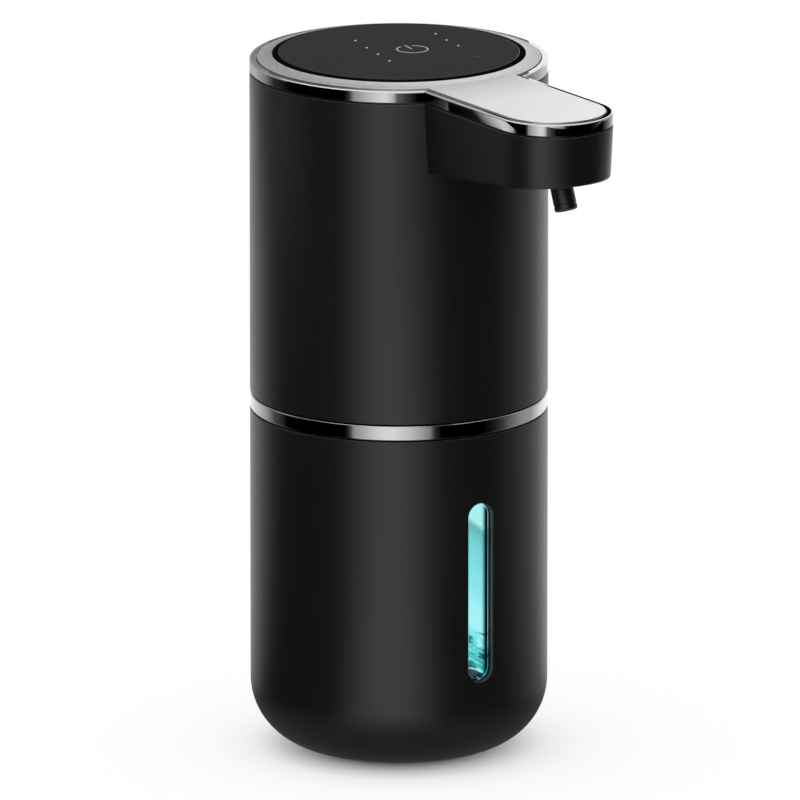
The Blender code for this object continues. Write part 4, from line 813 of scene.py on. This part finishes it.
# %% Band
band_section = [(36.0, 89.3), (BODY, 89.3), (BODY, 93.1), (36.0, 93.1)]
band = as_object("band", turned(band_section, {1: 0.4, 2: 0.4}))
finish_piece(band, chrome, "head", "chrome", "seam_band")

# %% [markdown]
# ## Spout
# The spout's plan is a straight neck with a full round end. One vertex spun through half a
# turn gives the end, and two more points give the sides. The sides lean in by a few degrees
# toward the foot, which lets the moulding leave its mould. The block is drawn up through such
# plans, and a sloping plane cuts off its underside.

# %% Spout's plan
SPOUT_REACH = 85.6
SPOUT_HALF = 15.2
SPOUT_LEAN = math.tan(math.radians(2.8))
TIP_CENTRE = SPOUT_HALF - SPOUT_REACH
ROOT_DEPTH = 18.2
TIP_DEPTH = 13.0
SPOUT_SLOPE = (ROOT_DEPTH - TIP_DEPTH) / (SPOUT_REACH - BODY)
HOUSING_TOP = 176.95
TIP_STEPS = 64


def underside(reach):
    return HOUSING_TOP - ROOT_DEPTH + SPOUT_SLOPE * (reach - BODY)


def spun_arc(start, centre, angle, steps):
    """Points in order from one point round a centre."""
    bm = bmesh.new()
    first = bm.verts.new(start)
    spun(bm, [first], angle, steps, centre)
    chain = [first]
    while len(chain) <= steps:
        ahead = [e.other_vert(chain[-1]) for e in chain[-1].link_edges]
        chain.append(next(v for v in ahead if v not in chain[-2:]))
    return [v.co.copy() for v in chain]


def tip_arc(half, level):
    """The spout's round end, from its left side to its right."""
    centre = Vector((0, TIP_CENTRE, level)) * MM
    return spun_arc(Vector((-half, TIP_CENTRE, level)) * MM, centre, math.pi, TIP_STEPS)


def spout_plan(inset, back, level):
    half = SPOUT_HALF - inset
    sides = [Vector((half, -back, level)) * MM, Vector((-half, -back, level)) * MM]
    return tip_arc(half, level) + sides


print("spout's underside at its tip:", round(underside(SPOUT_REACH), 2), "mm up")

# %% Spout block
SLICE_LEVEL = 150
NEARLY_LEVEL = 0.9


def everything(bm):
    return bm.verts[:] + bm.edges[:] + bm.faces[:]


def spout_block(inset, back, lift, upright_to, top):
    """The sides lean in below the height that they stand upright to."""
    lean = SPOUT_LEAN * (upright_to - SLICE_LEVEL)
    levels = [(inset + lean, SLICE_LEVEL), (inset, upright_to), (inset, top)]
    bm = drawn([spout_plan(more, back, level) for more, level in dict.fromkeys(levels)])
    slope_point = Vector((0, -BODY, underside(BODY) + lift)) * MM
    sliced = bmesh.ops.bisect_plane(
        bm, geom=everything(bm), plane_co=slope_point, plane_no=(0, SPOUT_SLOPE, 1),
        clear_inner=True,
    )
    rim = [g for g in sliced["geom_cut"] if isinstance(g, bmesh.types.BMEdge)]
    bmesh.ops.contextual_create(bm, geom=rim)
    bmesh.ops.recalc_face_normals(bm, faces=bm.faces)
    return bm


def soften_rims(bm, low_radius, high_radius):
    """Rounds the lower and the upper edges of the spout block."""
    for radius, high in ((high_radius, True), (low_radius, False)):
        ends = [f for f in bm.faces if abs(f.normal.z) > NEARLY_LEVEL]
        edges = {e for f in ends if (f.normal.z > 0) == high for e in f.edges}
        rounded(bm, list(edges), radius, "EDGES", 4)
    return bm


print("spout's sides lean in by", round(math.degrees(math.atan(SPOUT_LEAN)), 1), "degrees")

# %% [markdown]
# ## Head housing
# The housing starts as a full turned block. The spout is joined to it, and then the bore,
# the spout's hollow and the holes for nozzle, lens and charging port are cut. Joining before
# the cuts leaves one clean inside wall, as the moulding has.

# %% Tools for the housing
NOZZLE_REACH = 73.9
NOZZLE_LEAN = math.radians(-22.0)
LENS_REACH = 53.54
LENS_LEAN = -math.atan(SPOUT_SLOPE)
PORT_LEVEL = 114.0
PLATE_STRIPS = 16


def moved(bm, place, angle, axis):
    """Turns a mesh about an axis, then carries it to a place given in millimetres."""
    matrix = Matrix.Translation(Vector(place) * MM) @ Matrix.Rotation(angle, 4, axis)
    bmesh.ops.transform(bm, matrix=matrix, verts=bm.verts)
    return bm


def put(bm, reach, lean):
    """Stands a tool on the spout's underside, leaning about X."""
    return moved(bm, (0, -reach, underside(reach)), lean, "X")


def flush_plate(half_width, half_height, corner, front, back):
    """A rounded plate between two radii of the body, at the back."""
    bm = bmesh.new()
    sides = (-half_width, half_width, half_width, -half_width)
    ends = (-half_height, -half_height, half_height, half_height)
    places = [(x * MM, 0, (z + PORT_LEVEL) * MM) for x, z in zip(sides, ends)]
    corners = [bm.verts.new(p) for p in places]
    bm.faces.new(corners)
    rounded(bm, corners, corner, "VERTICES", 8)
    for number in range(1, PLATE_STRIPS):
        across = half_width * MM * (2 * number / PLATE_STRIPS - 1)
        line = {"plane_co": (across, 0, 0), "plane_no": (1, 0, 0)}
        bmesh.ops.bisect_plane(bm, geom=everything(bm), **line)
    sheet = bmesh.ops.extrude_face_region(bm, geom=bm.faces[:])["geom"]
    outer = [g for g in sheet if isinstance(g, bmesh.types.BMVert)]
    for v in bm.verts:
        v.co.y = on_cylinder(front if v in outer else back, 1)(v.co.x)
    bmesh.ops.recalc_face_normals(bm, faces=bm.faces)
    return bm


def lying_slot(half_width, half_height, near, far):
    """A slot prism turned to lie level at the charging port, between two distances back."""
    bm = slot_prism(half_height, half_width, 0, [lambda x: near * MM, lambda x: far * MM])
    return moved(bm, (0, 0, PORT_LEVEL), QUARTER, "Y")


print("nozzle leans by", round(math.degrees(-NOZZLE_LEAN)), "degrees")

# %% Housing
housing_section = [(0, 93.4), (BODY, 93.4), (BODY, HOUSING_TOP), (0, HOUSING_TOP)]
housing = as_object("housing", turned(housing_section, {1: 0.4, 2: 0.4}))
spout = spout_block(inset=0, back=30.6, lift=0, upright_to=HOUSING_TOP, top=HOUSING_TOP)
join(housing, soften_rims(spout, low_radius=0.8, high_radius=0.4))
cut(
    housing,
    cylinder(36.0, 92, 178, TURN_STEPS),
    spout_block(inset=2.0, back=19, lift=2.0, upright_to=173.25, top=177.9),
    put(cylinder(3.2, -4, 4), NOZZLE_REACH, NOZZLE_LEAN),
    put(cylinder(4.3, -2, 4), LENS_REACH, LENS_LEAN),
    flush_plate(6.7, 4.0, corner=1.9, front=39.0, back=36.9),
    lying_slot(5.3, 2.5, near=35, far=38),
)
finish_piece(housing, black_plastic, "head", "black_plastic", "head_housing")

# %% [markdown]
# ## Trim
# The trim is one plated moulding that follows the body and the spout together. Its plan is
# two arcs joined by the spout's sides. The plan is drawn through rings at different insets
# and heights, which give the wall, the flat border and the skirt inside the housing.

# %% Keyhole rings
def keyhole(inset, level):
    """The plan of body and spout drawn in by the inset, as points at one level."""
    radius = BODY - inset
    half = SPOUT_HALF - inset
    corner = math.asin(half / radius)
    root = Vector((half, -radius * math.cos(corner), level)) * MM
    body = spun_arc(root, (0, 0, level * MM), math.tau - 2 * corner, TURN_STEPS)
    return body + tip_arc(half, level)


def keyhole_loft(levels):
    return drawn([keyhole(inset, level) for inset, level in levels])


print("the trim's plan has", len(keyhole(0, 0)), "points")

# %% Trim
trim_levels = [
    (1.6, 179.25), (1.6, 180.25), (0.5, 180.25), (0.4, 180.25), (0.2, 180.19),
    (0.06, 180.05), (0, 179.85), (0, 177.4), (0.15, 177.25), (2.3, 177.25),
    (2.3, 173.25), (3.7, 173.25), (3.7, 178.05),
]
trim = as_object("trim", keyhole_loft(trim_levels))
cut(trim, cylinder(30.3, 177, 180, TURN_STEPS))
finish_piece(trim, chrome, "head", "chrome", "top_trim")

# %% [markdown]
# The satin plate lies inside the border. It climbs to the panel by about 0.8 mm, so a turned
# cone is joined to the flat plate before the panel's hole is cut.

# %% Satin plate
plate_levels = [(1.9, 179.55), (1.9, 180.4), (1.95, 180.5), (2.1, 180.55)]
plate = as_object("satin_plate", keyhole_loft(plate_levels))
join(plate, turned([(31.5, 180.35), (35.7, 180.35), (31.5, 181.585)]))
cut(plate, cylinder(32.3, 179, 183, TURN_STEPS))
finish_piece(plate, satin_metal, "head", "satin_metal", "top_inlay")

# %% [markdown]
# ## Touch panel and its marks
# The panel is a polished disc. The rim round it is painted shade, a black that takes no light,
# so the face seems to float in a black line. Its marks are generic: a power sign, two rows of
# dots and two faint dashes.
# Each is a thin raised inlay, so that it exports as shape and not as a picture.

# %% Panel
PANEL_TOP = 181.75
PANEL = 32.0
EDGE = 30.7
panel_section = [
    (0, 177.75), (30.0, 177.75), (30.0, 179.55), (EDGE, 179.55), (EDGE, PANEL_TOP),
    (0, PANEL_TOP),
]
panel = as_object("panel", turned(panel_section, {1: 0.2, 4: 0.1}))
finish_piece(panel, gloss_black, "head", "gloss_black", "touch_panel")

# %% Rim round the panel
RIM_GAP = 0.02
# The rim is painted shade, black and without gloss.
rim_foot = EDGE + RIM_GAP
rim_section = [(rim_foot, 179.6), (PANEL, 179.6), (PANEL, 181.5), (rim_foot, 181.7)]
rim = as_object("panel_rim", turned(rim_section, {2: 0.15}))
finish_piece(rim, shade_rim, "head", "gloss_black")

# %% Lit dots
INK = 0.03
DOT_RADIUS = 0.30
DOT_STEPS = 24
LEVEL_DOTS = ((-2.8, 15.9), (-4.7, 7.7), (-6.2, 0.2), (-7.8, -7.5))
CHARGE_DOTS = ((18.4, 11.0), (16.9, 3.7), (16.0, -3.1))


def dot(place):
    return moved(cylinder(DOT_RADIUS, 0, INK, DOT_STEPS), (*place, PANEL_TOP), 0, "Z")


for row, places in (("level_dot", LEVEL_DOTS), ("charge_dot", CHARGE_DOTS)):
    for number, place in enumerate(places):
        inlay = as_object(f"{row}_{number}", dot(place))
        finish_piece(inlay, bright_mark, "head", "gloss_black")

# %% Power sign
SIGN_TURN = math.radians(-9)
SIGN_PLACE = (4.1, 0.0)
SIGN_RADIUS = 3.95
SIGN_OPENING = math.radians(44)
SIGN_STEPS = 60
STROKE = 0.36
STEM_MIDDLE = 0.66
STEM_LENGTH = 1.15
BAR_ROUNDNESS = 2.2


def bar(width, length, place, turn):
    """A flat bar along Y before its turn."""
    bm = bmesh.new()
    bmesh.ops.create_cube(bm, size=1)
    bmesh.ops.scale(bm, vec=Vector((width, length, INK)) * MM, verts=bm.verts)
    rise = INK * MM / 2
    upright = [e for e in bm.edges if abs(e.verts[0].co.z - e.verts[1].co.z) > rise]
    rounded(bm, upright, width / BAR_ROUNDNESS, "EDGES", 5)
    return moved(bm, (*place, PANEL_TOP + INK / 2), turn, "Z")


def power_ring():
    """The broken ring of a power sign, open at the side that points away from the camera."""
    bm = bmesh.new()
    inner, outer = SIGN_RADIUS - STROKE / 2, SIGN_RADIUS + STROKE / 2
    corners = [(inner, 0), (outer, 0), (outer, INK), (inner, INK)]
    face = bm.faces.new([bm.verts.new(Vector((r, 0, z)) * MM) for r, z in corners])
    spun(bm, [face] + face.edges[:] + face.verts[:], math.tau - SIGN_OPENING, SIGN_STEPS)
    start = SIGN_TURN + math.pi / 2 + SIGN_OPENING / 2
    moved(bm, (*SIGN_PLACE, PANEL_TOP), start, "Z")
    bmesh.ops.recalc_face_normals(bm, faces=bm.faces)
    return bm


up = Vector((-math.sin(SIGN_TURN), math.cos(SIGN_TURN))) * SIGN_RADIUS * STEM_MIDDLE
stem_place = (SIGN_PLACE[0] + up.x, SIGN_PLACE[1] + up.y)
finish_piece(as_object("power_ring", power_ring()), dim_mark, "head", "gloss_black")
stem = bar(STROKE, SIGN_RADIUS * STEM_LENGTH, stem_place, SIGN_TURN)
finish_piece(as_object("power_stem", stem), dim_mark, "head", "gloss_black")

# %% Faint dashes
DASHES = (("charge_dash", (13.6, -15.8), 1.5), ("level_dash", (-8.9, -15.0), 0.8))
DASH_WIDTH = 0.25
DASH_TURN = math.radians(60)

for name, place, length in DASHES:
    dash = as_object(name, bar(DASH_WIDTH, length, place, DASH_TURN))
    finish_piece(dash, faint_mark, "head", "gloss_black")
print("marks stand", INK, "mm above the panel")

# %% [markdown]
# ## Nozzle
# The nozzle leans forward out of the spout's underside. Its chamber and side barb stay inside
# the spout, and only the round-ended tube with one shallow groove shows. It is turned upright
# as one section and then leaned.

# %% Nozzle
NOZZLE_LOW = -7.3
BARB_PLACE = (0, -71.008, 169.83)
BARB_STEPS = 32
nozzle_section = [
    (0, 9.22), (1.4, 9.22), (1.4, -3.4), (2.4, -3.4), (2.4, NOZZLE_LOW), (2.9, NOZZLE_LOW),
    (2.9, -6.0), (2.75, -5.9), (2.75, -5.7), (2.9, -5.6), (2.9, 3.62), (4.4, 3.62),
    (4.4, 4.62), (3.6, 4.62), (3.6, 10.22), (0, 10.22),
]
nozzle_mesh = turned(nozzle_section, {5: 0.45, 14: 0.3}, SMALL_STEPS)
nozzle = as_object("nozzle", put(nozzle_mesh, NOZZLE_REACH, NOZZLE_LEAN))


def barb(radius, low, high):
    return moved(cylinder(radius, low, high, BARB_STEPS), BARB_PLACE, -QUARTER, "X")


join(nozzle, barb(1.2, 1.8, 9.23))
cut(nozzle, barb(0.45, 0, 10.23))
finish_piece(nozzle, black_plastic, "head", "black_plastic", "nozzle_body")

# %% Lens of the hand sensor
lens_section = [(0, 0), (4.0, 0), (4.0, 2.3), (5.2, 2.3), (5.2, 3.3), (0, 3.3)]
lens_mesh = turned(lens_section, {1: 0.3}, SMALL_STEPS)
lens = as_object("lens", put(lens_mesh, LENS_REACH, LENS_LEAN))
finish_piece(lens, gloss_black, "head", "gloss_black", "sensor_window")

# %% [markdown]
# ## Charging port cover
# A soft rubber cover lies flush in the back of the housing and swings down on its lower
# edge. A fingernail notch at its top is what it is pulled by.

# %% Port cover
COVER_HALF = (6.4, 3.7)
port_cover = as_object("port_cover", flush_plate(*COVER_HALF, 1.6, BODY, 37.2))
join(port_cover, lying_slot(4.7, 1.9, near=36.1, far=37.6))
nail = moved(cylinder(1.7, 37.7, 39.0), (0, 0, PORT_LEVEL + COVER_HALF[1]), -QUARTER, "X")
cut(port_cover, nail)
finish_piece(port_cover, black_rubber, "port_flap", "black_rubber", "port_plug")

# %% [markdown]
# ## Solids that stay
# The pump, the motor, the boards and the other inside pieces have their right shape as
# packed solids. Each takes the finish of its slot in the record, and the foam screen its own
# weave.

# %% Finish the packed solids
finishes = dict(
    black_plastic=black_plastic, inner_plastic=inner_plastic, pale_plastic=pale_plastic,
    clear_plastic=clear_plastic, gloss_black=gloss_black, chrome=chrome, steel=steel,
    satin_metal=satin_metal, black_rubber=black_rubber, silicone=silicone,
    green_board=green_board, blue_wrap=blue_wrap,
)
slots = {part["node"]: part["material_slot"] for part in frame["record"]["subparts"]}
kept = [name for name, node in frame["nodes"].items() if not node.hide_render]
for name in kept:
    materials = frame["nodes"][name].data.materials
    materials.clear()
    materials.append(woven_steel if name == "foam_screen" else finishes[slots[name]])
print("finished in place:", len(kept))

# %% [markdown]
# ## Floor and light
# The photograph has a white ground that keeps only a soft shadow. A white world and one wide
# lamp overhead light the object evenly, as in an overcast studio. The floor is a plain pale
# sheet that is white to the camera and in reflections, away from the object.

# %% Floor
FLOOR_SIZE = 12.0
FLOOR_REACH = 120 * MM
GLOW_STOPS = (
    (0.18, 0.06), (0.22, 0.25), (0.31, 0.62), (0.40, 0.82), (0.60, 0.94), (1.00, 1.00),
)
SEEN_RAYS = ("Is Camera Ray", "Is Glossy Ray", "Is Transmission Ray")
WHITE = (1, 1, 1, 1)
PAPER = (0.95, 0.95, 0.95, 1)


def seen_directly(wiring):
    """1 for camera, glossy and transmission rays."""
    path = wiring.node("ShaderNodeLightPath").socket.node
    camera, glossy, through = (Value(wiring, path.outputs[name]) for name in SEEN_RAYS)
    return (camera + glossy + through).clamp()


def floor_finish():
    """Paper that glows white away from the object and keeps its shadow near it."""
    finish = Finish("floor", Base_Color=PAPER, Roughness=0.9, Specular_IOR_Level=0)
    x, y, _ = finish.place()
    stops = [(place, grey(level)) for place, level in GLOW_STOPS]
    share = seen_directly(finish) * finish.ramp(from_axis(x, y) / FLOOR_REACH, stops)
    paper = Value(finish, finish.shader.outputs[0])
    glow = finish.node("ShaderNodeEmission", {}, {"Color": WHITE})
    finish.surface(finish.node("ShaderNodeMixShader", {}, {0: share, 1: paper, 2: glow}))
    return finish.material


sheet = bmesh.new()
bmesh.ops.create_grid(sheet, x_segments=1, y_segments=1, size=FLOOR_SIZE / 2)
floor = as_object("floor", sheet)
floor.data.materials.append(floor_finish())
print("floor:", FLOOR_SIZE, "m wide, white from", FLOOR_REACH, "m out")

# %% World, a little under white on the object and white where a ray sees it
WORLD_LEVEL = 0.9
world = bpy.data.worlds.new("studio")
bpy.context.scene.world = world
world.use_nodes = True
wiring = Wiring(world.node_tree)
background = wiring.tree.nodes["Background"].inputs
background["Color"].default_value = WHITE
strength = WORLD_LEVEL + seen_directly(wiring) * (1 - WORLD_LEVEL)
wiring.feed(background["Strength"], strength)
print("world at", WORLD_LEVEL)

# %% Lamp, which faces the middle of the object
light = bpy.data.lights.new("overhead", "AREA")
light.size = 1.2
light.energy = 4.0
lamp = bpy.data.objects.new("overhead", light)
bpy.context.scene.collection.objects.link(lamp)
lamp.location = (-0.3, 0.2, 1.6)
middle = Vector((0, 0, VIEW_HEIGHT))
lamp.rotation_euler = (middle - lamp.location).to_track_quat("-Z", "Y").to_euler()
lamp.visible_glossy = False
print(lamp.name, "lamp of", light.energy, "W")

# %% [markdown]
# ## Cards
# Plated edges show only what stands round them. In the photograph they show bright and black
# fields with hard edges, which are the softboxes and the black cards of the studio. Curved
# cards that only reflections can see give the same fields and throw no shadow. The wall is
# graded by the angle from the camera's side, and narrower cards stand in front of it. High
# cards behind the object serve the flat tops. The card on the floor serves the edges that
# look down, and its middle is dark, because the object stands there and shades it.

# %% Levels of light, by degrees from the camera's side to the picture's right
WALL_STOPS = (
    (-158, 1), (-121, 0.40), (-107, 0.07), (-92, 0), (-40, 0), (-37, 0.017), (-35, 0.09),
    (-33, 0.31), (-13, 0.80), (-4, 0.83), (8, 0.64), (22, 0.26), (23, 0.23), (25, 0.06),
    (27.4, 0.017), (31, 0), (64, 0), (72, 0.007), (77, 0.018), (82, 0.042), (86, 0.08),
    (104, 0.29), (118, 0.37), (136, 0.84), (146, 1),
)
LOW_STOPS = (
    (-104.1, 0), (-103.9, 0.04), (-103.8, 0.18), (-103.4, 0.45), (-102.9, 0.72),
    (-85, 0.68), (-69.5, 0.45), (-62, 0.03),
)
UPPER_STOPS = (
    (-9, 0.82), (-4.5, 0.55), (-3, 0.45), (-2.3, 0.13), (5, 0.044), (9, 0.018), (13, 0),
)
LEFT_STOPS = (
    (-139, 0.48), (-130, 0.36), (-120, 0.25), (-112, 0.09), (-107, 0.027), (-88, 0),
)
RIGHT_STOPS = ((92, 0), (99, 0.03), (112, 0.16), (140, 0.62))
PANEL_LIGHT = 0.11
BORDER_LIGHT = 0.25
RING_LIGHT = 0.34
FAR_LIGHT = 0.40
print("stops round the wall:", len(WALL_STOPS))

# %% Glow of a card
SHADOW_FADE = (85 * MM, 42 * MM)
SHADOW_LEVEL = 0.13


def card_colour(finish, levels):
    """Levels by the angle round the object, and a shadow where the object stands."""
    x, y, _ = finish.place()
    toward, right, _ = view_directions()
    across = x * right.x + y * right.y
    near = (x * toward.x + y * toward.y) / math.cos(VIEW_ELEVATION)
    stops = [(0.5 + degrees / 360, grey(light)) for degrees, light in levels]
    colour = finish.ramp(across.turn_from(near) / math.tau + 0.5, stops)
    return finish.mix(fade(from_axis(x, y), *SHADOW_FADE), colour, grey(SHADOW_LEVEL))


def card_finish(level):
    """Light of one level, or of levels by the angle round the object."""
    finish = Finish("card")
    graded = isinstance(level, tuple)
    colour = card_colour(finish, level) if graded else (*grey(level), 1)
    finish.surface(finish.node("ShaderNodeEmission", {}, {"Color": colour}))
    return finish.material


print("shadow:", SHADOW_LEVEL)

# %% Cards that only reflections see
CARD_RADIUS = 300
CARD_STEPS = 96
FRONT = CARD_RADIUS - 4
BACK = CARD_RADIUS - 20


def as_card(name, bm, level):
    card = as_object(name, bm)
    card.data.materials.append(card_finish(level))
    for kind in ("camera", "diffuse", "transmission", "volume_scatter", "shadow"):
        setattr(card, f"visible_{kind}", False)
    print("card", name)


def curved_card(name, start, end, low, high, level, radius=FRONT):
    """Part of a cylinder round the object, between two of the angles above."""
    bm = bmesh.new()
    toward, right, _ = view_directions()
    flat = Vector((toward.x, toward.y, 0)).normalized()
    angle = math.radians(start)
    out = (flat * math.cos(angle) + right * math.sin(angle)) * radius * MM
    points = [bm.verts.new(out + Vector((0, 0, h * MM))) for h in (low, high)]
    edge = bm.edges.new(points)
    spun(bm, [edge] + points, math.radians(end - start), CARD_STEPS)
    as_card(name, bm, level)


def upright_card(name, distance, left, right, low, high, level):
    """A flat card behind the object, square to the camera, with the picture's sides."""
    _, right_way, away = view_directions()
    bm = bmesh.new()
    corners = [(left, low), (right, low), (right, high), (left, high)]
    behind = away * distance * MM
    points = [right_way * x * MM + behind + Vector((0, 0, z * MM)) for x, z in corners]
    bm.faces.new([bm.verts.new(p) for p in points])
    as_card(name, bm, level)


# %% Set up the cards
WALL_TOP = 420
CARD_LIFT = 0.5
curved_card("card_wall", -180, 180, 0, WALL_TOP, WALL_STOPS, CARD_RADIUS)
curved_card("card_upper", -9, 30, 85, 136, UPPER_STOPS)
curved_card("card_low", -135, -58, 93, 110.5, LOW_STOPS)
curved_card("card_left", -180, -88, 109, 136, LEFT_STOPS)
curved_card("card_right", 70, 155, 100, 125, RIGHT_STOPS)
upright_card("card_panel", BACK, -35, 35, 236, 261.6, PANEL_LIGHT)
upright_card("card_border", BACK + 1, -40, 6, 236, 272, BORDER_LIGHT)
upright_card("card_spout", BACK + 2, 6, 58, 255, 276, 0.0)
curved_card("card_ring", -176, -90, 150, WALL_TOP, RING_LIGHT)
curved_card("card_far", 95, 140, 136, WALL_TOP, FAR_LIGHT)
disc = bmesh.new()
bmesh.ops.create_circle(disc, cap_ends=True, radius=CARD_RADIUS * MM, segments=SLOT_STEPS)
bmesh.ops.translate(disc, vec=(0, 0, CARD_LIFT * MM), verts=disc.verts)
as_card("card_floor", disc, WALL_STOPS)

# %% [markdown]
